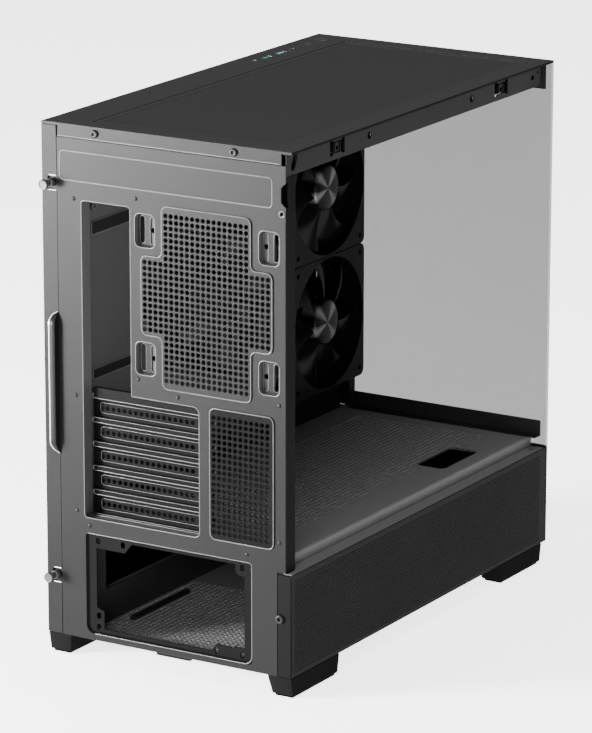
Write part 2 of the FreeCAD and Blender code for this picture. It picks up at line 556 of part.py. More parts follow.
# ---------------------------------------------------------------- inside
def make_tray():
    """Motherboard tray with a processor cut-out and cable cut-outs, and its stand-offs."""
    x = ("tray_x", "tray_x + sheet_thick")
    plate = box((x[0], front("tray_from_front"), up("sheet_thick")), (x[1], rear("sheet_thick"),
                                                                     up("case_height - top_thick")))
    far = ("tray_x - 3", "tray_x + 4")
    tools = [box((far[0], rear(y_in + " + " + length), up(z)), (far[1], rear(y_in), up(z + " + " + tall)))
             for y_in, length, z, tall in (
                 ("84", "100", "245", "100"), ("40", "60", "380", "18"), ("150", "60", "380", "18"),
                 ("266", "14", "150", "70"), ("266", "14", "250", "70"), ("60", "50", "102", "16"),
                 ("160", "80", "102", "16"), ("40", "180", "30", "40"))]
    posts = []
    for y_in in (0.0, 157.48, 227.33):
        for drop in (0.0, 154.94, 200.66):
            at = (rear("board_in + %g" % y_in), up("board_top - %g" % drop))
            post = rod("-X", "standoff_radius", "standoff_height", ("tray_x", at[0], at[1]))
            bore = rod("-X", "standoff_bore", "standoff_height + 4", ("tray_x + 2", at[0], at[1]))
            posts.append(cut(post, [bore]))
            tools.append(rod("-X", "standoff_bore", "8", ("tray_x + 4", at[0], at[1])))
    publish(cut(plate, tools), "motherboard_tray")
    publish(fuse(posts), "standoffs")


def make_fan_bracket():
    """Flat bracket ahead of the tray that carries the two side fans."""
    x = ("side_fan_x + fan_thick", "side_fan_x + fan_thick + sheet_thick")
    plate = box((x[0], front("glass_thick + band_depth + 0.5"), up("shroud_top")),
                (x[1], front("tray_from_front + 10"), up("side_fan_high + fan_size / 2 + 14")))
    tools = []
    for centre in ("side_fan_low", "side_fan_high"):
        y = rear("side_fan_in")
        tools.append(rod("+X", "fan_bore - 1", "8", (x[0] + " - 3", y, up(centre))))
        for sy in "+-":
            for sz in "+-":
                tools.append(rod("+X", "screw_hole_radius", "8", (
                    x[0] + " - 3", y + " %s fan_holes_small / 2" % sy,
                    up(centre + " %s fan_holes_small / 2" % sz))))
    publish(cut(plate, tools), "side_fan_bracket")


def make_shroud():
    """Power-supply shroud: top, a step down on the left and a ledge, with a mesh and a cable cut-out."""
    y = (front("glass_thick + 0.5"), rear("sheet_thick"))
    top = (up("shroud_top - sheet_thick"), up("shroud_top"))
    sheets = [
        box(("shroud_left", y[0], top[0]), ("tray_x", y[1], top[1])),
        box(("shroud_left", y[0], up("shroud_top - shroud_step - sheet_thick")),
            ("shroud_left + sheet_thick", y[1], top[1])),
        box((LEFT + " + tray_inset", y[0], up("shroud_top - shroud_step - sheet_thick")),
            ("shroud_left", rear("strip_setback"), up("shroud_top - shroud_step")))]
    opening = box(("mesh_left", front("mesh_from_front"), top[0] + " - 5"),
                  ("mesh_right", rear("mesh_in"), top[1] + " + 5"))
    cable = ((("cable_left"), front("cable_from_front"), top[0] + " - 5"),
             ("cable_right", front("cable_from_front + cable_length"), top[1] + " + 5"))
    publish(cut(fuse(sheets), [opening, box(*cable)]), "psu_shroud")
    mesh = box(("mesh_left", front("mesh_from_front"), top[0]), ("mesh_right", rear("mesh_in"), top[1]))
    publish(cut(mesh, [box(*cable)]), "shroud_mesh")


def make_drives():
    """Cage under the shroud, the tray that slides out of it rearwards, and the plate for a slim drive."""
    x = ("cage_left", "cage_left + cage_width")
    y = (front("cage_from_front"), front("cage_from_front + cage_length"))
    z = (up("sheet_thick"), up("sheet_thick + cage_height"))
    shell = cut(box((x[0], y[0], z[0]), (x[1], y[1], z[1])), [
        box((x[0] + " + sheet_thick", y[0] + " + sheet_thick", z[0] + " - 3"),
            (x[1] + " - sheet_thick", y[1] + " + 3", z[1] + " - sheet_thick"))])
    ledges = [box((low, y[0], up("drive_tray_up")), (high, y[1], up("drive_tray_up + sheet_thick")))
              for low, high in ((x[0], x[0] + " + 6"), (x[1] + " - 6", x[1]))]
    publish(fuse([shell] + ledges), "drive_cage")

    mid = "(cage_left + cage_width / 2)"
    tray_z = up("drive_tray_up + sheet_thick + slip_gap")
    tray_x = (mid + " - drive_tray_width / 2", mid + " + drive_tray_width / 2")
    tray_y = (front("cage_from_front + 3"), front("cage_from_front + 3 + drive_tray_length"))
    outer = box((tray_x[0], tray_y[0], tray_z), (tray_x[1], tray_y[1], tray_z + " + drive_tray_tall"))
    inner = box((tray_x[0] + " + 1.8", tray_y[0] + " + 1.8", tray_z + " + 1.8"),
                (tray_x[1] + " - 1.8", tray_y[1] + " - 1.8", tray_z + " + drive_tray_tall + 3"))
    holes = [rod("+Z", "small_hole_radius", "8", (
        mid + " %s drive_holes_x / 2" % sx, tray_y[0] + " + 60 %s drive_holes_y / 2" % sy, tray_z + " - 3"))
        for sx in "+-" for sy in "+-"]
    publish(cut(outer, [inner] + holes), "drive_tray")

    ssd_x = ("tray_x + sheet_thick + ssd_gap", "tray_x + sheet_thick + ssd_gap + sheet_thick")
    plate = box((ssd_x[0], rear("ssd_in + ssd_width / 2"), up("ssd_up")),
                (ssd_x[1], rear("ssd_in - ssd_width / 2"), up("ssd_up + ssd_tall")))
    legs = [box(("tray_x + sheet_thick", rear(edge + " + 5"), up("ssd_up")),
                (ssd_x[1], rear(edge), up("ssd_up + 5")))
            for edge in ("ssd_in + ssd_width / 2 - 5", "ssd_in - ssd_width / 2")]
    legs += [box(("tray_x + sheet_thick", rear("ssd_in + 5"), up("ssd_up + ssd_tall - 5")),
                 (ssd_x[1], rear("ssd_in - 5"), up("ssd_up + ssd_tall")))]
    holes = [rod("+X", "small_hole_radius", "6", (
        ssd_x[0] + " - 2", rear("ssd_in %s ssd_holes_y / 2" % sy),
        up("ssd_up + ssd_tall / 2 %s ssd_holes_z / 2" % sz)))
        for sy in "+-" for sz in "+-"]
    publish(cut(fuse([plate] + legs), holes), "ssd_plate")


# ---------------------------------------------------------------- front
def angle(low, high, fold, name):
    """A sheet-metal angle: a face against the glass and one fold running back from it."""
    face = box(low, (high[0], low[1] + " + sheet_thick", high[2]))
    return publish(fuse([face, box(*fold)]), name)


def make_front():
    """Front glass, the frame angles behind it and the lower front panel."""
    publish(box((LEFT, front(), up("glass_bottom")),
                (RIGHT, front("glass_thick"), up("case_height - top_thick"))),
            "front_glass")
    near, far = front("glass_thick"), front("glass_thick + band_depth")
    x = ("rail_x", "pillar_left")
    top = (up("case_height - top_thick - top_band"), up("case_height - top_thick"))
    angle((x[0], near, top[0]), (x[1], far, top[1]),
          ((x[0], near, top[1] + " - sheet_thick"), (x[1], far, top[1])), "front_top_rail")
    low = (up("shroud_top"), up("shroud_top + bottom_band - 8"))
    angle((x[0], near, low[0]), (x[1], far, low[1]),
          ((x[0], near, low[0]), (x[1], far, low[0] + " + sheet_thick")), "front_bottom_rail")
    side = (up("shroud_top"), up("case_height - top_thick"))
    angle(("pillar_left", near, side[0]), (RIGHT + " - tray_inset - slip_gap", far, side[1]),
          (("pillar_left", near, side[0]), ("pillar_left + sheet_thick", far, side[1])), "front_right_pillar")
    lower = box((LEFT, front(), "foot_height"), (RIGHT, front("glass_thick"), up("glass_bottom - slip_gap")))
    shell = cut(lower, [
        box((LEFT + " + panel_wall", front("panel_wall"), "foot_height + panel_wall"),
            (RIGHT + " - panel_wall", front("glass_thick + 3"), up("glass_bottom - slip_gap - panel_wall")))])
    publish(shell, "front_lower_panel")


# ---------------------------------------------------------------- side panels
def make_left_panel():
    """Perforated lower left panel with a rear flange, a top lip and its screw."""
    z = ("foot_height + slip_gap", up("mesh_top - 1.4"))
    y = (front("glass_thick + slip_gap"), rear())
    parts = [
        box((LEFT, y[0], z[0]), (LEFT + " + sheet_thick", y[1], z[1])),
        box((LEFT, rear("sheet_thick"), z[0]), (LEFT + " + left_flange", y[1], z[1]))]
    hole = rod("+Y", "shank_hole", "8", ("left_screw_x", rear("4"), up("left_screw_up")))
    publish(cut(fuse(parts), [hole]), "left_mesh_panel")
    screw = fuse([rod("+Y", "left_head_radius", "2.4", ("left_screw_x", rear("0 - 0.05"), up("left_screw_up"))),
                  rod("+Y", "shank_radius", "7.05", ("left_screw_x", rear("7"), up("left_screw_up")))])
    publish(screw, "left_panel_screw")


def make_right_panel():
    """Steel right side panel: rear flange, raised grip and two sunk seats for captive thumbscrews."""
    z = ("foot_height + slip_gap", up("case_height - top_thick - slip_gap"))
    edge = RIGHT + " - flange_width"
    skin = box((RIGHT + " - sheet_thick", front("glass_thick + slip_gap"), z[0]), (RIGHT, rear(), z[1]))
    flange = box((edge, rear("sheet_thick"), z[0]), (RIGHT, rear(), z[1]))

    def ridge(inset, rise, low_y):
        """The grip's outline, smaller by an inset."""
        solid = doc.addObject("Part::Wedge", "Grip")
        length = "grip_top - grip_bottom"
        bind(solid, Xmin="0", Xmax="grip_width - (%s)" % inset, Ymin="0", Ymax=rise, Zmin="0",
             Zmax=length + " - 2 * (%s)" % inset, X2min="0", X2max="grip_width - (%s)" % inset,
             Z2min="grip_slope", Z2max=length + " - 2 * (%s) - grip_slope" % inset)
        place(solid, edge, rear(low_y), up("grip_bottom + (%s)" % inset))
        return solid

    seats, tools = [], []
    for height in ("knob_upper", "knob_lower"):
        low_z, high_z = up(height + " - notch_height / 2"), up(height + " + notch_height / 2")
        seats.append(box((edge, rear("2.2"), low_z + " - 1"),
                         (edge + " + notch_width + 1", rear(), high_z + " + 1")))
        tools.append(box((edge, rear("1.2"), low_z), (edge + " + notch_width", rear("0 - 3"), high_z)))
        tools.append(rod("+Y", "shank_hole", "8", ("knob_x", rear("5"), up(height))))
    grip = ridge("0", "grip_rise", "0")
    hollow = ridge("1", "grip_rise - 1", "0")
    throat = ridge("2", "2", "1.5")
    publish(cut(fuse([skin, flange, grip] + seats), [hollow, throat] + tools), "right_side_panel")
    for label, height in (("upper_thumbscrew", "knob_upper"), ("lower_thumbscrew", "knob_lower")):
        z = up(height)
        publish(fuse([
            rod("+Y", "knob_radius", "knob_length", ("knob_x", rear("knob_length - rear_reach"), z)),
            rod("+Y", "neck_radius", "rear_reach - knob_length + 1.15", ("knob_x", rear("1.15"), z)),
            rod("+Y", "shank_radius", "shank_length", ("knob_x", rear("shank_length + 1.15"), z))]), label)


# ---------------------------------------------------------------- fans
def make_fan(name, axis, centre):
    """One case fan. It is drawn along its own axis from the open face to the strut face."""
    placement = FreeCAD.Placement(FreeCAD.Vector(*centre), TURNS[axis])
    half, thick, plate = size("fan_size") / 2, size("fan_thick"), size("fan_plate")
    bore, wall = size("fan_bore"), size("fan_wall")
    up_z = FreeCAD.Vector(0, 0, 1)

    def tube(outer, inner, low, high):
        """A ring between two heights."""
        solid = Part.makeCylinder(outer, high - low, FreeCAD.Vector(0, 0, low), up_z)
        if inner:
            solid = solid.cut(Part.makeCylinder(inner, high - low, FreeCAD.Vector(0, 0, low), up_z))
        return solid

    def feature(label, shape):
        """A document object from a shape in the fan's own axes."""
        obj = doc.addObject("Part::Feature", label)
        obj.Shape = shape.removeSplitter()
        obj.Placement = placement
        publish(obj, label)

    corner = 6.0
    slab = Part.makeBox(2 * half, 2 * half, plate, FreeCAD.Vector(-half, -half, 0))
    uprights = [edge for edge in slab.Edges if abs(edge.tangentAt(edge.FirstParameter).z) > 0.99]
    slab = slab.makeFillet(corner, uprights)
    slab = slab.cut(Part.makeCylinder(bore, plate, FreeCAD.Vector(0, 0, 0), up_z))
    far_slab = slab.copy()
    far_slab.translate(FreeCAD.Vector(0, 0, thick - plate))
    frame = slab.fuse([far_slab, tube(bore + wall, bore, 0, thick)])
    seat = thick - size("strut_thick")
    struts = [tube(size("motor_radius") + 1.5, 0, seat, thick)]
    for quarter in range(4):
        strut = Part.makeBox(bore + 1, size("strut_width"), size("strut_thick"),
                             FreeCAD.Vector(0, -size("strut_width") / 2, seat))
        strut.rotate(FreeCAD.Vector(0, 0, 0), up_z, 45 + 90 * quarter)
        struts.append(strut)
    frame = frame.fuse(struts)
    reach = size("fan_holes_small") / 2
    for sx in (-1, 1):
        for sy in (-1, 1):
            frame = frame.cut(Part.makeCylinder(size("screw_hole_radius"), thick,
                                                FreeCAD.Vector(sx * reach, sy * reach, 0), up_z))
    feature(name + "_frame", frame)

    motor = tube(size("motor_radius"), size("bearing_radius"), 8, seat)
    feature(name + "_motor", motor)

    hub = size("hub_radius")
    rotor = tube(hub, 0, 1.5, 20.5).cut(tube(hub - 1.5, 0, 3.5, 20.5))
    rotor = rotor.fuse(tube(size("shaft_radius"), 0, 3.0, 18.0))
    reach_limit = tube(size("blade_tip"), hub - 1.0, 0.5, 21.5)
    turns = [number * 360.0 / size("blade_count") for number in range(int(size("blade_count")))]
    rotor = rotor.fuse([blade(turn, hub - 1.4, size("blade_tip")).common(reach_limit) for turn in turns])
    feature(name + "_rotor", rotor)


def blade(turn, root, tip):
    """One swept, twisted blade, as a loft through three flat sections, with its tip left long."""
    sections = []
    for share, sweep, pitch, chord in BLADE_SECTIONS:
        radius = root + (tip - root) * share
        corners = []
        for along, across in ((-1, -1), (1, -1), (1, 1), (-1, 1), (-1, -1)):
            slope = math.radians(pitch)
            side = along * chord / 2 * math.cos(slope) - across * BLADE_HALF_THICK * math.sin(slope)
            height = (BLADE_MIDDLE + along * chord / 2 * math.sin(slope)
                      + across * BLADE_HALF_THICK * math.cos(slope))
            corners.append(FreeCAD.Vector(radius, side, height))
        wire = Part.makePolygon(corners)
        wire.rotate(FreeCAD.Vector(0, 0, 0), FreeCAD.Vector(0, 0, 1), turn + sweep)
        sections.append(wire)
    return Part.makeLoft(sections, True, True)


def make_fans():
    """The rear exhaust fan with its corner pads, and the two side fans with their screws."""
    fan_y = value(rear("pocket_depth + sheet_thick + pad_thick + fan_thick"))
    make_fan("rear_fan", "+Y", (size("fan_x"), fan_y, value(up("fan_up"))))
    side_y = value(rear("side_fan_in"))
    for name, height in (("side_fan_lower", "side_fan_low"), ("side_fan_upper", "side_fan_high")):
        make_fan(name, "+X", (size("side_fan_x"), side_y, value(up(height))))
    pads, screws = [], []
    pad_y = (rear("pocket_depth + sheet_thick + pad_thick"), rear("pocket_depth + sheet_thick"))
    for sx in "+-":
        for sz in "+-":
            x, z = "fan_x %s fan_holes_small / 2" % sx, up("fan_up %s fan_holes_small / 2" % sz)
            pad = box((x + " - pad_width / 2 + 1", pad_y[0], z + " - pad_tall / 2"),
                      (x + " + pad_width / 2 - 1", pad_y[1], z + " + pad_tall / 2"))
            pads.append(cut(pad, [rod("+Y", "screw_hole_radius", "6", (x, rear("pocket_depth + 5"), z))]))
            for height in ("side_fan_low", "side_fan_high"):
                at = ("side_fan_x + fan_thick + sheet_thick", rear("side_fan_in") + " %s fan_holes_small / 2" % sx,
                      up(height + " %s fan_holes_small / 2" % sz))
                screws.append(fuse([rod("+X", "3.6", "1.8", at), rod("-X", "1.9", "12", at)]))
    publish(fuse(pads), "rear_fan_pads")
    publish(fuse(screws), "side_fan_screws")


# ---------------------------------------------------------------- controls and sockets
def make_controls():
    """Power and reset buttons, the sockets, and the housing under the top plate that holds them."""
    top = up("case_height")
    under = up("case_height - top_thick")
    x = "strip_x"
    housing = box((x + " - housing_width / 2", front("housing_from_front"), under + " - housing_drop"),
                  (x + " + 13", front("housing_from_front + housing_length"), under))
    wells = []
    for name, place_name, radius in (("power_button", "power_from_front", "power_radius"),
                                     ("reset_button", "reset_from_front", "reset_radius")):
        y = front(place_name)
        cap = rod("+Z", radius, "button_thick", (x, y, top + " - button_thick + 0.2"))
        skirt = rod("+Z", radius + " + button_flange", "button_flange", (
            x, y, under + " - slip_gap - button_flange"))
        publish(fuse([cap, skirt]), name)
        wells.append(rod("+Z", radius + " + button_flange + 0.5", "9", (x, y, under + " - 9")))
    shells = []
    for place_name, long_side, short_side in SOCKETS:
        low = ("%s - %s / 2" % (x, short_side), front("%s - %s / 2" % (place_name, long_side)),
               top + " - socket_drop")
        high = ("%s + %s / 2" % (x, short_side), front("%s + %s / 2" % (place_name, long_side)), top)
        wells.append(box(low, high))
        cavity = box((low[0] + " + usb_wall", low[1] + " + usb_wall", low[2] + " + 1"),
                     (high[0] + " - usb_wall", high[1] + " - usb_wall", high[2] + " + 3"))
        tongue = "0.7" if short_side == "usb_c_short" else "1.9"
        shift = "0" if short_side == "usb_c_short" else "1"
        blade_box = box((x + " - %s / 2 + %s" % (tongue, shift), low[1] + " + 1.4", low[2] + " + 0.5"),
                        (x + " + %s / 2 + %s" % (tongue, shift), high[1] + " - 1.4", high[2] + " - 1.2"))
        shells.append(fuse([cut(box(low, high), [cavity]), blade_box]))
    publish(shells[0], "usb_c_port")
    publish(fuse(shells[1:]), "usb_a_ports")
    y = front("jack_from_front")
    barrel = rod("+Z", "jack_radius", "socket_drop", (x, y, top + " - socket_drop"))
    bore = rod("+Z", "jack_bore", "socket_drop", (x, y, top + " - socket_drop + 1"))
    publish(cut(barrel, [bore]), "audio_jack")
    wells.append(rod("+Z", "jack_radius", "socket_drop", (x, y, top + " - socket_drop")))
    publish(cut(housing, wells), "io_housing")


def check_and_write():
    """Stop on any failed object, then write each sub-part to its file."""
    doc.recompute()
    for obj in doc.Objects:
        if "Invalid" in obj.State or "Error" in obj.State:
            raise RuntimeError("failed object: %s %s" % (obj.Label, obj.State))
    os.makedirs("parts", exist_ok=True)
    whole = None
    for obj in published:
        shape = obj.Shape
        if shape.isNull() or not shape.isValid() or not shape.Solids:
            raise RuntimeError("bad shape: " + obj.Label)
        shape.exportStep("parts/%s.step" % obj.Label)
        whole = shape.BoundBox if whole is None else whole.united(shape.BoundBox)
        print("%-20s solids %2d  volume %10.1f  faces %4d" % (
            obj.Label, len(shape.Solids), shape.Volume, len(shape.Faces)))
    print("parts", len(published), "box", whole)


make_feet()
make_base()
make_bottom_filter()
make_rear_plate()
make_rear_grilles()
make_psu_panel()
make_slots()
make_rivets()
make_top()
make_left_rail()
make_tray()
make_fan_bracket()
make_shroud()
make_drives()
make_front()
make_left_panel()
make_right_panel()
make_fans()
make_controls()
check_and_write()
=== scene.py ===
import json
import math

import bmesh
import bpy
import numpy as np
from mathutils import Matrix, Vector
from mathutils.geometry import delaunay_2d_cdt


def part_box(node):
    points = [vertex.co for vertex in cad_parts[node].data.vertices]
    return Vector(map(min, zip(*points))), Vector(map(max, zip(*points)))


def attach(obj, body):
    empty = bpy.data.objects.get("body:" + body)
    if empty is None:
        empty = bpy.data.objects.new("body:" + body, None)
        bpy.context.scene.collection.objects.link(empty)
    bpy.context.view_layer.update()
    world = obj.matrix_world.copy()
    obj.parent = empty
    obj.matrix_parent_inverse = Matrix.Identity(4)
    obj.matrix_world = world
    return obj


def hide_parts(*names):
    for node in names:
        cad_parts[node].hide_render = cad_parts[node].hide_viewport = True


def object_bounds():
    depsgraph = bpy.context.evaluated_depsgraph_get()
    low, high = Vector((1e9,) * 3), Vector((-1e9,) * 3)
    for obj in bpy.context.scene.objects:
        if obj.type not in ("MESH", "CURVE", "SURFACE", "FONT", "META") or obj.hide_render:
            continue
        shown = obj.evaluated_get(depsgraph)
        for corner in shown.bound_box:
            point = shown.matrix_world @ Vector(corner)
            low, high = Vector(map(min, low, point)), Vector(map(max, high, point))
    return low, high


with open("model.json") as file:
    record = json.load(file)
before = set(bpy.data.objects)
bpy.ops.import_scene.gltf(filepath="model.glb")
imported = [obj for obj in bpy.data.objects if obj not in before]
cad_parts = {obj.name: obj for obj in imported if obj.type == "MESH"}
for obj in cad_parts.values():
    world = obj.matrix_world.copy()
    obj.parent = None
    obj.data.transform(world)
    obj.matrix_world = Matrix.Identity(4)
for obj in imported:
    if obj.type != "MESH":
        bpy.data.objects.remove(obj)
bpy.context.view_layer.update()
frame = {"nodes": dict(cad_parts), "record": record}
RECORD = frame["record"]
NODES = frame["nodes"]
BODY_OF = {n: b for b, ns in RECORD["behaviour"]["bodies"].items() for n in ns}
SLOT_OF = {part["node"]: part["material_slot"] for part in RECORD["subparts"]}
JOINT = {j["name"]: j for j in RECORD["behaviour"]["joints"]}
MM = 0.001


# ---- materials
def grey(v, warm=0.0):
    """A display grey from 0 to 1 as linear colour."""
    lin = v / 12.92 if v <= 0.04045 else ((v + 0.055) / 1.055) ** 2.4
    return (lin * (1 + warm), lin, lin * (1 - warm), 1.0)


LOOK = {}
GLOSS_CHANGE = 0.05


def clouded(tree, scale, detail, low, high):
    """Object coordinates, a slow noise in them, and a colour that the noise mixes from two tones."""
    where = tree.nodes.new("ShaderNodeTexCoord")
    slow = tree.nodes.new("ShaderNodeTexNoise")
    slow.inputs["Scale"].default_value = scale
    slow.inputs["Detail"].default_value = detail
    tree.links.new(where.outputs["Object"], slow.inputs["Vector"])
    tone = tree.nodes.new("ShaderNodeMix")
    tone.data_type = "RGBA"
    tone.inputs[6].default_value = (*low, 1)
    tone.inputs[7].default_value = (*high, 1)
    tree.links.new(slow.outputs["Fac"], tone.inputs[0])
    return where, slow, tone.outputs[2]


def material(name, colour, rough, metal=0.0, grain=0.0004, depth=0.0, vary=0.05, specular=0.5):
    """A finish with a fine surface grain and a slow change of tone and gloss, kept in LOOK."""
    m = bpy.data.materials.new(name)
    m.use_nodes = True
    tree = m.node_tree
    shader = tree.nodes["Principled BSDF"]
    shader.inputs["Metallic"].default_value = metal
    shader.inputs["Specular IOR Level"].default_value = specular
    c = np.array(colour[:3])
    where, slow, mixed = clouded(tree, 14.0, 3.0, np.clip(c * (1 - vary), 0, 1), np.clip(c * (1 + vary), 0,
                                                                                         1))
    tree.links.new(mixed, shader.inputs["Base Color"])
    gloss = tree.nodes.new("ShaderNodeMapRange")
    gloss.inputs["To Min"].default_value = max(0.03, rough - GLOSS_CHANGE)
    gloss.inputs["To Max"].default_value = min(1.0, rough + GLOSS_CHANGE)
    tree.links.new(slow.outputs["Fac"], gloss.inputs["Value"])
    tree.links.new(gloss.outputs["Result"], shader.inputs["Roughness"])
    if depth:
        fine = tree.nodes.new("ShaderNodeTexNoise")
        fine.inputs["Scale"].default_value = 1.0 / grain
        fine.inputs["Detail"].default_value = 2.0
        tree.links.new(where.outputs["Object"], fine.inputs["Vector"])
        bump = tree.nodes.new("ShaderNodeBump")
        bump.inputs["Strength"].default_value = depth
        bump.inputs["Distance"].default_value = grain
        tree.links.new(fine.outputs["Fac"], bump.inputs["Height"])
        tree.links.new(bump.outputs["Normal"], shader.inputs["Normal"])
    LOOK[name] = m
    return m


# painted steel: display grey, roughness, specular level. These are lit and shaded copies of one dark painted
# steel: each place's grey is raised for painted light or lowered for painted shade.
PAINTED = {
    "case_steel": (0.08, 0.42, 0.08), "rear_steel": (0.06, 0.34, 0.06), "wall_steel": (0.20, 0.5, 0.06),
    "flange_steel": (0.035, 0.7, 0.025), "slot_steel": (0.03, 0.36, 0.02), "tray_steel": (0.16, 0.5, 0.08),
    "inner_black": (0.02, 0.6, 0.02), "mesh_panel": (0.05, 0.6, 0.03), "bay_floor": (0.38, 0.5, 0.08),
    "dark_steel": (0.10, 0.5, 0.06), "shroud_steel": (0.34, 0.5, 0.08), "left_steel": (0.035, 0.7, 0.02),
    "top_steel": (0.15, 0.5, 0.16), "rail_steel": (0.06, 0.55, 0.04), "bay_steel": (0.30, 0.5, 0.2),
}
for name, (tone, rough, shine) in PAINTED.items():
    material(name, grey(tone), rough, grain=0.0006, depth=0.12, specular=shine)
# The lighter, part-metallic edge material below is a painted highlight: it lights bead lines and rims along
# edges and ridges.
material("painted_highlight_edge", grey(0.28), 0.30, metal=0.4, specular=0.2)
# The bright edge material below is a painted highlight on the grip's edge and the knob notches.
material("painted_highlight_bright", grey(0.75), 0.25, metal=0.5)
material("clip_plastic", grey(0.03), 0.5, grain=0.0005, depth=0.10, specular=0.03)
material("head_steel", grey(0.10), 0.4, metal=0.3, specular=0.08)
material("foot_black", grey(0.05), 0.8, grain=0.0008, depth=0.2, specular=0.008)
material("post_steel", grey(0.16), 0.5, specular=0.2)
material("filter_weave", grey(0.145), 0.6, grain=0.0003, depth=0.25, specular=0.14)
# The near-black below is painted shade, put in gaps and openings where only shade falls.
material("painted_shade_black", grey(0.03), 0.8, specular=0.1)
material("black_plastic", grey(0.035), 0.5, grain=0.0005, depth=0.10, specular=0.03)
material("fan_plastic", grey(0.04), 0.42, grain=0.0005, depth=0.08, specular=0.06)
material("blade_plastic", grey(0.03), 0.22, grain=0.0008, depth=0.03, specular=0.055)
material("foot_rubber", grey(0.01), 0.8, grain=0.0008, depth=0.2, specular=0.0)
material("filter_mesh", grey(0.14), 0.55, grain=0.0005, depth=0.1)
material("screw_steel", grey(0.12), 0.34, metal=0.3, specular=0.1)
material("bright_steel", grey(0.60), 0.28, metal=1.0)
material("brass_posts", (0.55, 0.40, 0.15, 1), 0.3, metal=1.0)
material("knob_metal", grey(0.24), 0.34, metal=0.4, specular=0.1)
material("button_plastic", grey(0.14), 0.35, grain=0.0005, depth=0.08)
material("pad_grey", grey(0.20), 0.7, grain=0.0006, depth=0.1, specular=0.1)
material("usb_blue", (0.22, 0.55, 0.62, 1), 0.45, grain=0.0005, depth=0.05)
material("usb_green", (0.03, 0.30, 0.24, 1), 0.45, grain=0.0005, depth=0.05)


def glass_material(name, tint, mist):
    """Tinted glass: mostly clear with a darkening tint, gloss from its Fresnel edge."""
    m = bpy.data.materials.new(name)
    m.use_nodes = True
    tree = m.node_tree
    out = tree.nodes["Material Output"]
    tree.nodes.remove(tree.nodes["Principled BSDF"])
    clear = tree.nodes.new("ShaderNodeBsdfTransparent")
    mixed = clouded(tree, 4.0, 2.0, [t * 0.98 for t in tint], [min(1, t * 1.02) for t in tint])[2]
    tree.links.new(mixed, clear.inputs["Color"])
    shine = tree.nodes.new("ShaderNodeBsdfGlossy")
    shine.inputs["Roughness"].default_value = mist
    edge = tree.nodes.new("ShaderNodeFresnel")
    edge.inputs["IOR"].default_value = 1.5
    mix = tree.nodes.new("ShaderNodeMixShader")
    tree.links.new(edge.outputs["Fac"], mix.inputs[0])
    tree.links.new(clear.outputs[0], mix.inputs[1])
    tree.links.new(shine.outputs[0], mix.inputs[2])
    tree.links.new(mix.outputs[0], out.inputs["Surface"])
    LOOK[name] = m


glass_material("tinted_glass", (0.37, 0.37, 0.375), 0.02)


def paint(obj, look):
    obj.data.materials.clear()
    obj.data.materials.append(LOOK[look])


for node_name, node in NODES.items():
    paint(node, SLOT_OF[node_name])

# ---- places
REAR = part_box("left_mesh_panel")[1].y
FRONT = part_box("front_glass")[0].y
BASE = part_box("front_lower_panel")[0].z
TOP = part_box("top_plate")[1].z
REAR_MM, FRONT_MM, BASE_MM = REAR / MM, FRONT / MM, BASE / MM


def on_rear(u, v, w):
    """From x, height above the base and distance out of the rear face, in millimetres."""
    return np.array([u * MM, REAR + w * MM, BASE + v * MM])


def on_level(height):
    """A horizontal sheet: x, distance in from the rear face, and height above a level."""
    return lambda u, v, w: np.array([u * MM, REAR - v * MM, BASE + (height + w) * MM])


def on_left(offset):
    """A sheet that faces -X: distance in from the rear face, height, and distance out to -X."""
    return lambda u, v, w: np.array([(offset - w) * MM, REAR - u * MM, BASE + v * MM])


# ---- outlines
def rect(x0, y0, x1, y1):
    return [(x0, y0), (x1, y0), (x1, y1), (x0, y1)]


def rounded(points, radius, steps=5):
    """The outline with each corner rounded; radius is one number or one per corner."""
    radii = radius if isinstance(radius, (list, tuple)) else [radius] * len(points)
    result = []
    count = len(points)
    for i, r in enumerate(radii):
        p = np.array(points[i], float)
        if r <= 0:
            result.append(tuple(p))
            continue
        a, b = np.array(points[i - 1], float) - p, np.array(points[(i + 1) % count], float) - p
        la, lb = np.linalg.norm(a), np.linalg.norm(b)
        a, b = a / la, b / lb
        half = math.acos(max(-1, min(1, float(a @ b)))) / 2
        reach = min(r / math.tan(half), la * 0.49, lb * 0.49)
        r = reach * math.tan(half)
        middle = p + (a + b) / np.linalg.norm(a + b) * r / math.sin(half)
        start, end = p + a * reach - middle, p + b * reach - middle
        t0, t1 = math.atan2(start[1], start[0]), math.atan2(end[1], end[0])
        turn = (t1 - t0 + math.pi) % (2 * math.pi) - math.pi
        for k in range(steps + 1):
            t = t0 + turn * k / steps
            result.append((middle[0] + r * math.cos(t), middle[1] + r * math.sin(t)))
    return result


def circle(x, y, r, steps=12):
    turns = [2 * math.pi * k / steps for k in range(steps)]
    return [(x + r * math.cos(t), y + r * math.sin(t)) for t in turns]


def pill(x, y, radius, length, turn=0.0, steps=6):
    """A slot with round ends, upright unless it is turned."""
    result = []
    for end in (0, 1):
        centre = (length / 2 - radius) * (1 - 2 * end)
        for k in range(steps + 1):
            t = math.pi * k / steps + math.pi * end
            px, py = radius * math.cos(t), centre + radius * math.sin(t)
            result.append((x + px * math.cos(turn) - py * math.sin(turn),
                           y + px * math.sin(turn) + py * math.cos(turn)))
    return result


def area(loop):
    p = np.array(loop)
    q = np.roll(p, -1, 0)
    return float(np.sum(p[:, 0] * q[:, 1] - q[:, 0] * p[:, 1]) / 2)


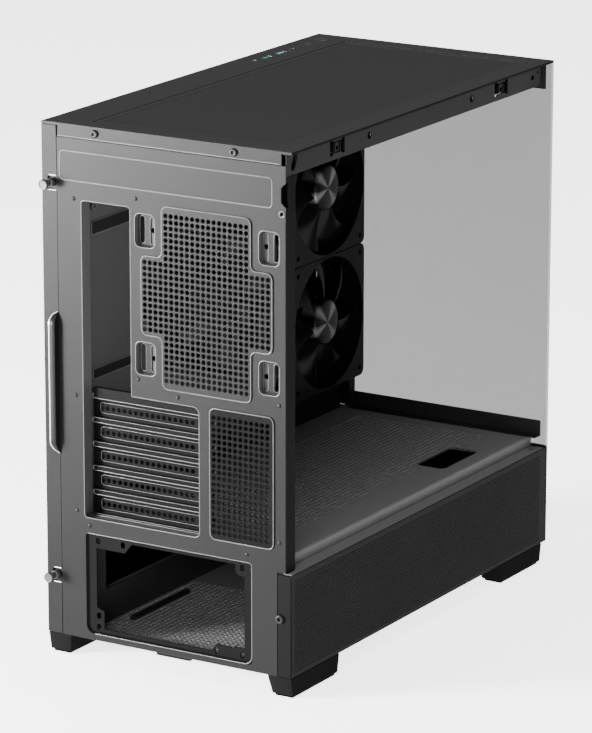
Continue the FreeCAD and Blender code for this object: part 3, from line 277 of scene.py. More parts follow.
def offset(loop, distance):
    """The loop moved to its left by a distance, with mitred corners."""
    p = np.array(loop, float)
    before, after = p - np.roll(p, 1, 0), np.roll(p, -1, 0) - p
    before /= np.maximum(np.linalg.norm(before, axis=1, keepdims=True), 1e-9)
    after /= np.maximum(np.linalg.norm(after, axis=1, keepdims=True), 1e-9)
    n0 = np.stack([-before[:, 1], before[:, 0]], 1)
    n1 = np.stack([-after[:, 1], after[:, 0]], 1)
    m = n0 + n1
    m /= np.maximum(np.sum(m * n0, axis=1, keepdims=True), 0.35)
    return p + m * distance


def inside(loop, points):
    """Which of the points lie inside a loop."""
    a = np.array(loop, float)
    b = np.roll(a, -1, 0)
    x, y = points[:, :1], points[:, 1:]
    rise = np.where(np.abs(b[:, 1] - a[:, 1]) < 1e-12, 1e-12, b[:, 1] - a[:, 1])
    crossing = ((a[:, 1] > y) != (b[:, 1] > y)) & (x < (b[:, 0] - a[:, 0]) * (y - a[:, 1]) / rise + a[:, 0])
    return crossing.sum(1) % 2 == 1


def fill(loops):
    """Triangles between an outline and its holes. A triangle that touches one loop only may be outside."""
    flat, edges, owner = [], [], []
    for number, loop in enumerate(loops):
        start, n = len(flat), len(loop)
        edges += [(start + k, start + (k + 1) % n) for k in range(n)]
        flat += [tuple(p) for p in loop]
        owner += [number] * n
    verts, _, faces, from_verts, *_ = delaunay_2d_cdt([Vector(p) for p in flat], edges, [], 0, 1e-7)
    v = np.array([tuple(p) for p in verts])
    owners = np.array([owner[ids[0]] if ids else -1 for ids in from_verts])
    f = np.array([tuple(face) for face in faces])
    one = (owners[f[:, 0]] == owners[f[:, 1]]) & (owners[f[:, 1]] == owners[f[:, 2]])
    keep = np.ones(len(f), bool)
    centres = v[f].mean(1)
    alone = np.nonzero(one)[0]
    alone = alone[np.argsort(owners[f[alone, 0]], kind="stable")]
    whose = owners[f[alone, 0]]
    starts = np.searchsorted(whose, np.arange(len(loops) + 1))
    for number, loop in enumerate(loops):
        mine = alone[starts[number]:starts[number + 1]]
        if len(mine):
            within = inside(loop, centres[mine])
            keep[mine] = within if number == 0 else ~within
    f = f[keep]
    p, q, r = v[f[:, 0]], v[f[:, 1]], v[f[:, 2]]
    turn = (q[:, 0] - p[:, 0]) * (r[:, 1] - p[:, 1]) - (q[:, 1] - p[:, 1]) * (r[:, 0] - p[:, 0])
    f[turn < 0] = f[turn < 0][:, ::-1]
    return v, [tuple(int(i) for i in t) for t in f]


# ---- meshes
def flat_faces(mesh):
    """Smooth shading for curves and small bevels, flat shading for large faces square to an axis."""
    count = len(mesh.polygons)
    normals, areas = np.empty(count * 3), np.empty(count)
    mesh.polygons.foreach_get("normal", normals)
    mesh.polygons.foreach_get("area", areas)
    square = np.abs(normals.reshape(-1, 3)).max(1) > 0.9999
    mesh.polygons.foreach_set("use_smooth", ~(square & (areas > 1.2e-5)))


class Build:
    """Collects faces for one piece."""

    def __init__(self):
        self.points, self.faces, self.count = [], [], 0

    def add(self, points, faces):
        self.points.append(np.asarray(points, float).reshape(-1, 3))
        self.faces += [tuple(int(i) + self.count for i in f) for f in faces]
        self.count += len(self.points[-1])

    def plate(self, loops, thick, where=on_rear, edge=0.25, lift=0.0, back=True):
        """A flat sheet with an outline, holes and a chamfered outer edge. loops[0] is the outline."""
        turned = []
        for i, loop in enumerate(loops):
            keep = (area(loop) > 0) == (i == 0)
            turned.append(np.array(loop if keep else loop[::-1], float))
        inner = [offset(loop, edge) for loop in turned] if edge else turned
        for loops_here, level, flip in ((inner, 0.0, False), (turned, -thick, True)):
            if flip and not back:
                continue
            v, faces = fill(loops_here)
            good = [f[::-1] for f in faces] if flip else faces
            self.add([where(x, y, level + lift) for x, y in v], good)
        for loop, inset in zip(turned, inner):
            rings = [inset, loop, loop] if edge else [loop, loop]
            levels = [0.0, -edge, -thick] if edge else [0.0, -thick]
            self.skin(rings, levels, where, lift)

    def skin(self, rings, levels, where=on_rear, lift=0.0):
        """Walls between closed rings at given levels."""
        n = len(rings[0])
        pts = [where(x, y, level + lift) for ring, level in zip(rings, levels) for x, y in ring]
        faces = []
        for r in range(len(rings) - 1):
            for k in range(n):
                a, b = r * n + k, r * n + (k + 1) % n
                faces.append((a, a + n, b + n, b))
        self.add(pts, faces)

    def bead(self, loop, radius, where=on_rear, lift=0.0, closed=True):
        """A half-round ridge along a line in a sheet."""
        p = np.array(loop, float)
        if closed:
            m = offset(p, 1.0) - p
        else:
            d = np.gradient(p, axis=0)
            d /= np.linalg.norm(d, axis=1, keepdims=True)
            m = np.stack([-d[:, 1], d[:, 0]], 1)
        sides, pts = 8, []
        for j in range(sides + 1):
            t = math.pi * j / sides
            for (x, y), (mx, my) in zip(p, m):
                pts.append(where(x + mx * radius * math.cos(t), y + my * radius * math.cos(t),
                                 lift + radius * math.sin(t)))
        n, faces = len(p), []
        for j in range(sides):
            for k in range(n if closed else n - 1):
                a, b = j * n + k, j * n + (k + 1) % n
                faces.append((a, b, b + n, a + n))
        self.add(pts, faces)

    def block(self, low, high, bevel=0.4, steps=2):
        """A box between two corners in millimetres, with rounded edges."""
        bm = bmesh.new()
        bmesh.ops.create_cube(bm, size=1.0)
        low, high = np.array(low, float), np.array(high, float)
        for v in bm.verts:
            v.co = Vector((low + high) / 2 + np.array(v.co) * (high - low))
        b = min(bevel, 0.45 * float(np.min(high - low)))
        if b > 0.02:
            bmesh.ops.bevel(bm, geom=bm.edges[:], offset=b, segments=steps, profile=0.5, affect="EDGES")
        bm.verts.index_update()
        self.add([np.array(v.co) * MM for v in bm.verts], [[v.index for v in f.verts] for f in bm.faces])
        bm.free()

    def slab(self, x, inward, up, bevel):
        """A block from pairs: x, distance in from the rear face, and height above the base."""
        self.block((x[0], REAR_MM - inward[1], BASE_MM + up[0]), (x[1], REAR_MM - inward[0], BASE_MM + up[1]),
                   bevel)

    def revolved(self, profile, where, steps):
        """A surface turned about a local z axis, from (radius, height) pairs."""
        turns = [2 * math.pi * k / steps for k in range(steps)]
        pts = [where(r * math.cos(t), r * math.sin(t), h) for r, h in profile for t in turns]
        faces = []
        for j in range(len(profile) - 1):
            for k in range(steps):
                a, b = j * steps + k, j * steps + (k + 1) % steps
                faces.append((a, b, b + steps, a + steps))
        self.add(pts, faces)

    def turned(self, profile, centre, axis, steps=32):
        """A turned shape: (radius, distance along the axis) pairs in millimetres about a centre in metres."""
        axis = Vector(axis).normalized()
        side = axis.orthogonal().normalized()
        other = axis.cross(side)
        self.revolved(profile, lambda x, y,
                      h: np.array(centre) + np.array(side * x + other * y + axis * h) * MM,
                      steps)

    def make(self, name, look, body="chassis", stands_for=(), slot=None, smooth=0.6):
        """Turn the faces into a piece that rides on a body."""
        mesh = bpy.data.meshes.new(name)
        mesh.from_pydata([tuple(p) for p in np.concatenate(self.points)], [], self.faces)
        bm = bmesh.new()
        bm.from_mesh(mesh)
        bmesh.ops.remove_doubles(bm, verts=bm.verts, dist=2e-6)
        bmesh.ops.recalc_face_normals(bm, faces=bm.faces)
        bm.to_mesh(mesh)
        bm.free()
        return as_piece(mesh, look, body, stands_for,
                        smooth)


def as_piece(mesh, look, body, stands_for, smooth=0.6):
    """Shade a mesh, paint it, hang it on its body, and hide the CAD nodes it stands for."""
    mesh.set_sharp_from_angle(angle=smooth)
    flat_faces(mesh)
    obj = bpy.data.objects.new(mesh.name, mesh)
    bpy.context.scene.collection.objects.link(obj)
    paint(obj, look)
    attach(obj, body)
    if stands_for:
        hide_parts(*stands_for)
    return obj


def islands(node):
    """The boxes of a node's separate solids, each (low, high) in metres, as arrays."""
    bm = bmesh.new()
    bm.from_mesh(NODES[node].data)
    bmesh.ops.remove_doubles(bm, verts=bm.verts, dist=1e-6)
    bm.verts.ensure_lookup_table()
    seen, found = set(), []
    for v in bm.verts:
        if v.index in seen:
            continue
        stack, group = [v], []
        seen.add(v.index)
        while stack:
            w = stack.pop()
            group.append(np.array(w.co))
            for e in w.link_edges:
                o = e.other_vert(w)
                if o.index not in seen:
                    seen.add(o.index)
                    stack.append(o)
        group = np.array(group)
        found.append((group.min(0), group.max(0)))
    bm.free()
    return found


def softened(node, width, look=None, steps=2):
    """A copy of a CAD node with its sharp edges rounded, standing for the node."""
    mesh = NODES[node].data.copy()
    mesh.name = node + "_skin"
    bm = bmesh.new()
    bm.from_mesh(mesh)
    bmesh.ops.remove_doubles(bm, verts=bm.verts, dist=1e-6)
    bmesh.ops.dissolve_limit(bm, angle_limit=0.01, verts=bm.verts, edges=bm.edges)
    sharp = [e for e in bm.edges if len(e.link_faces) == 2 and e.calc_face_angle(0) > 0.5]
    bmesh.ops.bevel(bm, geom=sharp, offset=width * MM, segments=steps, profile=0.5, affect="EDGES",
                    clamp_overlap=True)
    bm.to_mesh(mesh)
    bm.free()
    if "custom_normal" in mesh.attributes:
        mesh.attributes.remove(mesh.attributes["custom_normal"])
    return as_piece(mesh, look or SLOT_OF[node], BODY_OF[node], (node,))


# ---- rear sheet
PLATE_LEFT = (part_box("top_left_rail")[0].x / MM) + 0.1
PLATE_RIGHT = PLATE_LEFT + 214.3
LEFT_SCREW = (-106.8, 48.9)
KEYHOLE = (-108.2, 379.7)
MESH_TOP = (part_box("front_glass")[0].z - BASE) / MM
PLATE_TOP = (TOP - BASE) / MM - 11.1
FAN = Vector(JOINT["rear_fan_spin"]["pos_m"])
FAN_X, FAN_UP = FAN.x / MM, (FAN.z - BASE) / MM
CROSS = [(-41.3, -74.7), (41.3, -74.7), (41.3, -32.5), (61, -32.5), (61, 32.5), (41.3, 32.5), (41.3, 74.7),
         (-41.3, 74.7), (-41.3, 32.5), (-61, 32.5), (-61, -32.5), (-41.3, -32.5)]
CROSS = [(x + FAN_X, z + FAN_UP) for x, z in CROSS]
POCKETS = [(FAN_X + sx * 57.8, FAN_UP + sz * 52.5) for sx in (-1, 1) for sz in (-1, 1)]
VENT_LOW, VENT_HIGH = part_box("rear_vent_grille")
VENT = rect(VENT_LOW.x / MM, (VENT_LOW.z - BASE) / MM, VENT_HIGH.x / MM, (VENT_HIGH.z - BASE) / MM)
PSU_LOW, PSU_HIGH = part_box("psu_rear_panel")
PSU = rect(PSU_LOW.x / MM, (PSU_LOW.z - BASE) / MM, PSU_HIGH.x / MM, (PSU_HIGH.z - BASE) / MM)
WINDOW = rounded([(-31.3, 104.0), (79.4, 104.0), (79.4, 368.6), (32.7, 368.6), (32.7, 212.7), (-31.3, 212.7)],
                 [5, 3, 3, 3, 0.5, 6])
PSU_CORNERS = [3, 7, 3, 3]
SLOT_TOP, SLOT_PITCH, SLOT_DEPTH = 195.3, 20.32, 12.5
BAND = rect(-99.5, 383.7, 99.5, 407.6)
HOLE_STEP, HOLE_R = 5.0, 1.62


def pocket(x, z, grow):
    """A screw pocket's outline, larger by a margin."""
    return rounded(rect(x - 9.3 - grow, z - 13.5 - grow, x + 9.3 + grow, z + 13.5 + grow), 4.5 + grow)


def pocket_slots(x, z, radius, length):
    """The two upright slots in a pocket, for both standard screw spacings."""
    side = 1 if x > FAN_X else -1
    return [pill(FAN_X + side * spacing / 2, z, radius, length) for spacing in (105.0, 124.5)]


def rear_sheet():
    """The folded rear sheet with its rounded openings, sunk pockets, set-back strips and pillar."""
    low_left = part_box("left_mesh_panel")[0].x / MM + 12.9
    outline = [(low_left, 0), (PLATE_RIGHT, 0), (PLATE_RIGHT, PLATE_TOP), (PLATE_LEFT, PLATE_TOP),
               (PLATE_LEFT, 404.5), (PLATE_LEFT + 4.2, 400.5), (PLATE_LEFT + 4.2, 389), (PLATE_LEFT, 385),
               (PLATE_LEFT, MESH_TOP), (low_left, MESH_TOP)]
    b = Build()
    holes = [rounded(CROSS, 5), rounded(VENT, 5), rounded(PSU, PSU_CORNERS), WINDOW, circle(*KEYHOLE, 1.5,
                                                                                            10)]
    holes += [pocket(x, z, 0) for x, z in POCKETS]
    b.plate([outline] + holes, 1.0, edge=0.3)
    walls = Build()
    for x, z in POCKETS:
        mouth, floor = pocket(x, z, 0), pocket(x, z, -0.8)
        b.plate([floor] + pocket_slots(x, z, 2.2, 22.3), 1.0, edge=0.25, lift=-3.8)
        if area(mouth) < 0:
            mouth, floor = mouth[::-1], floor[::-1]
        walls.skin([mouth, floor], [0.0, -3.8])
    # The pocket walls take a lighter copy of the steel: painted light in the recesses.
    walls.make("pocket_walls", "wall_steel")
    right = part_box("right_side_panel")[1].x / MM
    b.slab((right - 16.3, right - 1.4), (3.5, 4.5), (0, 425.5), 0.2)
    b.slab((-right + 1.4, -right + 14.6), (3.5, 4.5), (0, 84.2), 0.2)
    b.slab((PLATE_RIGHT - 1, PLATE_RIGHT), (0.3, 3.6), (0, PLATE_TOP), 0.2)
    b.slab((low_left, low_left + 1), (0.3, 3.6), (0, 84.2), 0.2)
    b.make("rear_sheet", "rear_steel", stands_for=("rear_plate",))
    b = Build()
    for z0, z1 in ((MESH_TOP, 384.5), (405.0, 409.3)):
        b.slab((PLATE_LEFT, PLATE_LEFT + 1), (0.4, 14.6), (z0, z1), 0.2)
    b.slab((PLATE_LEFT, PLATE_LEFT + 1), (4.0, 14.6), (384.3, 405.2), 0.2)
    # The pillar takes the darker left copy of the steel: painted shade.
    b.make("rear_pillar", "left_steel")

    b = Build()
    # The bead lines take the lighter edge material: painted highlights along the window, pockets, band, PSU
    # recess, keyhole and top edge.
    b.bead(WINDOW, 0.42, lift=-0.15)
    for x, z in POCKETS:
        b.bead(pocket(x, z, 0.3), 0.42, lift=-0.15)
        for slot in pocket_slots(x, z, 2.45, 22.8):
            b.bead(slot, 0.22, lift=-3.85)
    b.bead(rounded(BAND, 3.5), 0.5, lift=-0.1)
    x0, z0 = PSU[0]
    x1, z1 = PSU[2]
    line = rounded([(x1 - 2, z1), (x0, z1), (x0, z0), (x0 + 40, z0), (x1 - 8, z0)], [0, 3, 7, 0, 0])
    b.bead(line, 0.42, lift=-0.1, closed=False)
    b.bead(circle(*KEYHOLE, 2.3, 16), 0.55, lift=-0.1)
    b.bead([(PLATE_RIGHT - 1.5, PLATE_TOP + 1), (PLATE_LEFT + 4, PLATE_TOP + 1)], 0.5, lift=0.0,
           closed=False)
    b.make("rear_sheet_edges", "painted_highlight_edge")


def raised_grille(name, outline, points, radius, node, look):
    """A perforated panel that stands out of the rear sheet, with a bead round it in the lighter edge material
    as a painted highlight.
    """
    b = Build()
    loop = rounded(outline, radius)
    b.plate([loop] + [circle(x, z, HOLE_R, 10) for x, z in points], 1.0, edge=0.5, lift=1.2)
    inset = [tuple(p) for p in offset(loop if area(loop) > 0 else loop[::-1], 1.0)]
    b.plate([loop, inset], 1.2, edge=0, lift=0.2)
    b.make(name, look, stands_for=(node,))
    c = Build()
    c.bead(loop, 0.45, lift=0.85)
    c.make(name + "_edge", "painted_highlight_edge")


def rear_grilles():
    """The cross-shaped grille ahead of the rear fan and the vent beside the slots."""
    middle = [(FAN_X + (i - 7.5) * HOLE_STEP,
               FAN_UP + (k - 13.5) * HOLE_STEP) for i in range(16) for k in range(28)]
    wings = [(FAN_X + (i - 11.5) * HOLE_STEP, FAN_UP + (k - 5.5) * HOLE_STEP)
             for i in range(24) for k in range(12) if abs(i - 11.5) > 8]
    raised_grille("fan_grille", CROSS, middle + wings, 5, "rear_fan_grille", "rear_steel")
    cx, cz = (VENT[0][0] + VENT[2][0]) / 2 + 0.8, (VENT[0][1] + VENT[2][1]) / 2 - 0.5
    points = [(cx + (i - 5) * HOLE_STEP, cz + (k - 9.5) * HOLE_STEP) for i in range(11) for k in range(20)]
    raised_grille("vent_grille", VENT, points, 5, "rear_vent_grille", "slot_steel")


def slots():
    """The sunk window frame with its ridges, and the five vented covers."""
    rear, base = REAR_MM, BASE_MM
    deep = rear - SLOT_DEPTH
    b = Build()
    for x, up in (((79.4, 80.4), (103, 369.6)), ((31.7, 32.7), (213.7, 369.6)), ((32.7, 79.4), (368.6,
                                                                                                369.6)),
                  ((-32.3, -31.3), (103, 213.7)), ((-31.3, 32.7), (212.7, 213.7))):
        b.slab(x, (1.0, SLOT_DEPTH), up, 0.2)
    # The window's walls, and the sill below, take a lighter copy of the steel: painted light in the recess.
    b.make("slot_frame_walls", "wall_steel", stands_for=("slot_frame",))
    sill = Build()
    for step in range(4):
        y0, z0 = deep + step * 2.9, 104.0 - step * 0.25
        sill.block((-31.3, y0, base + z0 - 1), (79.4, y0 + 2.95, base + z0), 0.1)
    sill.make("slot_sill", "wall_steel")
    # The ridge edges and ends take the lighter edge material: painted highlights.
    ridges, edges = Build(), Build()
    first = SLOT_TOP + SLOT_PITCH / 2
    for number in range(6):
        z = first - SLOT_PITCH * number
        low, high = z - 2.2, z + 2.2
        if number == 0:
            high = 212.7
        if number == 5:
            low = 104.2
        loop = rounded(rect(-31.3, low, 76.0, high), [0, 2.0, 2.0, 0])
        ridges.plate([loop], 2.5, edge=0.5, lift=-9.0)
        for level, size in ((low + 0.2, 0.38), (high - 0.2, 0.25)):
            if (number == 5 and level < z) or (number == 0 and level > z + 3):
                continue
            edges.bead([(75.0, level), (-31.2, level)], size, lift=-9.1, closed=False)
        if number < 5:
            end = [(75.0 + 1.4 * math.sin(t), z + (2.0 * math.cos(t))) for t in np.linspace(0, math.pi, 9)]
            edges.bead(end, 0.45, lift=-9.1, closed=False)
    ridges.make("slot_ridges", "slot_steel")
    edges.make("slot_ridge_edges", "painted_highlight_edge")
    for number in range(5):
        low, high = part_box("slot_cover_%d" % (number + 1))
        z = (low.z + high.z) / 2 / MM - base
        x0, x1 = low.x / MM, high.x / MM
        c = Build()
        vents = [circle(-17.6 + 5.4 * i, z, 1.75, 12) for i in range(17)]
        c.plate([rounded(rect(x0, z - 8.6, x1, z + 8.6), 0.8)] + vents, 1.0, edge=0.2, lift=-12.5)
        strip = rounded(rect(-31.0, z - 4.3, 70.5, z + 4.3), [0.5, 2.2, 2.2, 0.5])
        c.plate([strip] + vents, 0.6, edge=0.35, lift=-11.9, back=False)
        c.slab((x0, x0 + 1), (13.0, 24.4), (z - 8.6, z + 8.6), 0.3)
        for dz in (-2.0, 2.0):
            c.slab((72.5, 77.5), (12.1, 12.6), (z + dz - 0.35, z + dz + 0.35), 0.15)
        c.make("vented_cover_%d" % (number + 1), "slot_steel", stands_for=("slot_cover_%d" % (number + 1),))
        # Painted highlight along each cover's strip, in the lighter edge material.
        e = Build()
        line = rounded([(-30, z + 4.3), (70.5, z + 4.3), (70.5, z - 4.3), (-30, z - 4.3)], [0, 2.2, 2.2, 0])
        e.bead(line, 0.22, lift=-11.95, closed=False)
        e.make("vented_cover_edge_%d" % (number + 1), "painted_highlight_edge")


def psu_panel():
    """The sunk power-supply panel with its screw ears and round-ended holes."""
    b = Build()
    x0, z0 = PSU[0]
    x1, z1 = PSU[2]
    left, right, low, high = -71.9, 69.5, 10.2, 86.9
    opening = [(left, 17.5), (left + 8, 17.5), (left + 9.5, 16), (-46, 17.0), (-40, low), (right - 7, low),
               (right - 7, 25.5), (right, 28.0), (right, high - 8.5), (42, high - 8.5), (35.5, high),
               (left + 8.5, high), (left + 8.5, high - 6), (left + 6.5, high - 8.5), (left, high - 10)]
    centre_x, centre_z = -1.1, 48.0
    spots = [(centre_x + sx * 69, centre_z + sz * 37) for sx in (-1, 1) for sz in (-1, 1)]
    spots += [(centre_x + 69, centre_z + 37 - 64), (centre_x - 69 + 114, centre_z + 37),
              (centre_x + 69 - 114, centre_z - 37)]
    b.plate([rounded(rect(x0 + 0.2, z0 + 0.2, x1 - 0.2, z1 - 0.2), PSU_CORNERS), opening]
            + [pill(x, z, 1.9, 5.4) for x, z in spots], 1.0, edge=0.25, lift=-2.0)
    mouth = rounded(PSU, PSU_CORNERS)
    inner = rounded(rect(x0 + 1.6, z0 + 1.6, x1 - 1.6, z1 - 1.6), [2, 5.5, 2, 2])
    b.skin([mouth, inner], [0.0, -2.0])
    b.make("psu_panel_skin", "slot_steel", stands_for=("psu_rear_panel",))


def fasteners():
    """Rivet domes and lid screw heads, at the places of their CAD solids."""
    b = Build()
    for low, high in islands("rivets"):
        c = (low + high) / 2
        r = (high[0] - low[0]) / 2 / MM
        b.turned([(r, 0), (r * 0.92, 0.25), (r * 0.7, 0.5), (r * 0.35, 0.64), (0.02, 0.7)],
                 (c[0], REAR, c[2]), (0, 1, 0), 20)
    b.make("rivet_domes", "rear_steel", stands_for=("rivets",), slot="screw_steel")
    b = Build()
    for low, high in islands("lid_screws"):
        c = (low + high) / 2
        pan_head(b, (c[0], REAR, c[2]), (0, 1, 0), 3.4, 2.0)
    b.make("lid_screw_heads", "screw_steel", stands_for=("lid_screws",))


def pan_head(b, centre, axis, radius, height, drive=1.6):
    """A pan-head screw with a six-sided drive recess."""
    b.turned([(radius * 0.98, 0.0), (radius, height * 0.25), (radius * 0.93, height * 0.7),
              (radius * 0.72, height * 0.95), (drive + 0.3, height), (drive, height * 0.95),
              (drive * 0.8, height * 0.25), (0.02, height * 0.2)], centre, axis, 24)


rear_sheet()
rear_grilles()
slots()
psu_panel()
fasteners()


# ---- base, shroud and lower left panel
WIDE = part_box("right_side_panel")[1].x / MM
DEEP = (REAR - FRONT) / MM


def lattice(x0, x1, y0, y1, step_x, step_y, origin, stagger=False):
    """Points of a lattice through an origin that lie within a rectangle."""
    result = []
    rows = range(math.ceil((y0 - origin[1]) / step_y), math.floor((y1 - origin[1]) / step_y) + 1)
    for j in rows:
        shift = step_x / 2 if stagger and j % 2 else 0.0
        low = math.ceil((x0 - origin[0] - shift) / step_x)
        high = math.floor((x1 - origin[0] - shift) / step_x)
        result += [(origin[0] + shift + step_x * i, origin[1] + step_y * j) for i in range(low, high + 1)]
    return result


def base_sheet():
    """The steel base with its perforated intake, raised rib, side step and filter rails."""
    left, right = -WIDE + 1.4, WIDE - 1.4
    b = Build()
    points = lattice(-72, 93.0, 10, 174, 5.0, 5.05, (62.0, 119.5))
    points = [(x, y) for x, y in points if not (67.0 < x < 77.0 and 54 < y < 146)]
    b.plate([rect(left, 3.5, right, DEEP - 4)] + [circle(x, y, 1.75, 8) for x, y in points], 1.0,
            on_level(1.0), edge=0)
    for x0, x1 in ((left, left + 1), (right - 1, right)):
        b.slab((x0, x1), (3.5, DEEP - 4), (0.5, 12), 0.3)
    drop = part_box("base_tray")[0].z / MM - BASE_MM
    for side, x in ((1, -78.0), (-1, 90.0)):
        b.slab(sorted((x, x + side * 1.5)), (17, 182), (drop, 0), 0.2)
        b.slab(sorted((x, x + side * 4.5)), (17, 182), (drop, drop + 1), 0.2)
    # The base takes a much lighter copy of the steel: painted light on the dim bay floor.
    b.make("base_sheet", "bay_floor", stands_for=("base_tray", "intake_floor"))
    r = Build()
    r.plate([rounded(rect(69.3, 57, 74.7, 144), 2.4)], 3.0, on_level(4.0), edge=0.8)
    r.make("base_rib", "dark_steel")
    s = Build()
    oval = rounded(rect(24, 4.2, 36, 9.0), 2.3)
    s.plate([rect(6, 1.0, 330, 12.0), oval], 1.0,
            lambda u, v, w: np.array([(95.0 - w) * MM, REAR - u * MM, BASE + v * MM]), edge=0.2)
    s.slab((95.2, 103.0), (6, 330), (11.2, 12.2), 0.3)
    s.make("bay_step", "bay_steel")
    s = Build()
    s.slab((100.5, 101.7), (3, 400), (21.0, 24.0), 0.3)
    s.make("bay_rail", "bay_steel")


def shroud():
    """The shroud's top with its vent field and cable cut-out, its step and its ledge."""
    top = (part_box("psu_shroud")[1].z - BASE) / MM
    x_step = -103.0
    cable = rounded(rect(-89.6, DEEP - 137.9, -63.5, DEEP - 76.4), [5, 5, 5, 5])
    points = lattice(-70, 57, 80, DEEP - 29, 5.0, 5.05, (0.7, 402.3))
    points = [(x, y) for x, y in points if not (x < -60.0 and DEEP - 142 < y < DEEP - 72)]
    b = Build()
    b.plate([rect(x_step, 1.2, 86, DEEP - 4.5), cable] + [circle(x, y, 1.8, 8) for x, y in points], 1.0,
            on_level(top), edge=0)
    # The shroud top takes a lighter copy of the steel: painted light.
    b.make("shroud_top_sheet", "shroud_steel", stands_for=("psu_shroud", "shroud_mesh"))
    s = Build()
    s.slab((x_step, x_step + 1), (1.2, DEEP - 4.5), (top - 11, top - 0.05), 0.35)
    s.slab((-WIDE + 1.4, x_step), (3.5, DEEP - 4.5), (top - 11, top - 10), 0.35)
    s.make("shroud_step", "shroud_steel")
    c = Build()
    c.bead(cable, 0.5, on_level(top), lift=-0.2)
    c.make("cable_cut_out_edge", "case_steel")
    t = Build()
    t.turned([(1.9, 0.05), (1.9, 0.12), (1.1, 0.12), (1.0, -0.5), (0.02, -0.5)],
             (-109 * MM, FRONT + 16 * MM, BASE + (top - 10) * MM), (0, 0, 1), 16)
    t.make("ledge_eyelet", "dark_steel")


def left_panel():
    """The finely perforated lower left panel with a solid border, rear flange and backing."""
    top = MESH_TOP - 1.4
    b = Build()
    points = lattice(6.0, DEEP - 14.0, 4.5, top - 4.0, 2.2, 2.05, (6.0, 4.5), stagger=True)
    b.plate([rounded(rect(0.0, 0.3, DEEP - 4.3, top), 0.8)] + [circle(u, v, 0.68, 6) for u, v in points], 0.8,
            on_left(-WIDE), edge=0, back=False)
    b.make("left_panel_face", "mesh_panel", body="left_panel", stands_for=("left_mesh_panel",))
    f = Build()
    f.plate([rounded(rect(-WIDE, 0.3, -WIDE + 12.6, top), 0.8), circle(*LEFT_SCREW, 1.9, 14)], 1.0, edge=0.35)
    f.slab((-WIDE + 0.8, -WIDE + 1.2), (0.8, DEEP - 4.5), (0.4, top - 0.2), 0.1)
    f.slab((-WIDE + 0.2, -WIDE + 1.3), (0.6, DEEP - 4.5), (top - 0.6, top), 0.25)
    f.make("left_panel_flange", "flange_steel", body="left_panel")
    s = Build()
    c = (LEFT_SCREW[0] * MM, REAR, BASE + LEFT_SCREW[1] * MM)
    pan_head(s, c, (0, 1, 0), 3.8, 2.4, 1.7)
    s.turned([(1.76, 0), (1.76, -6.5), (1.2, -7)], c, (0, 1, 0), 20)
    s.make("left_screw_head", "head_steel", body="left_screw", stands_for=("left_panel_screw",),
           slot="screw_steel")


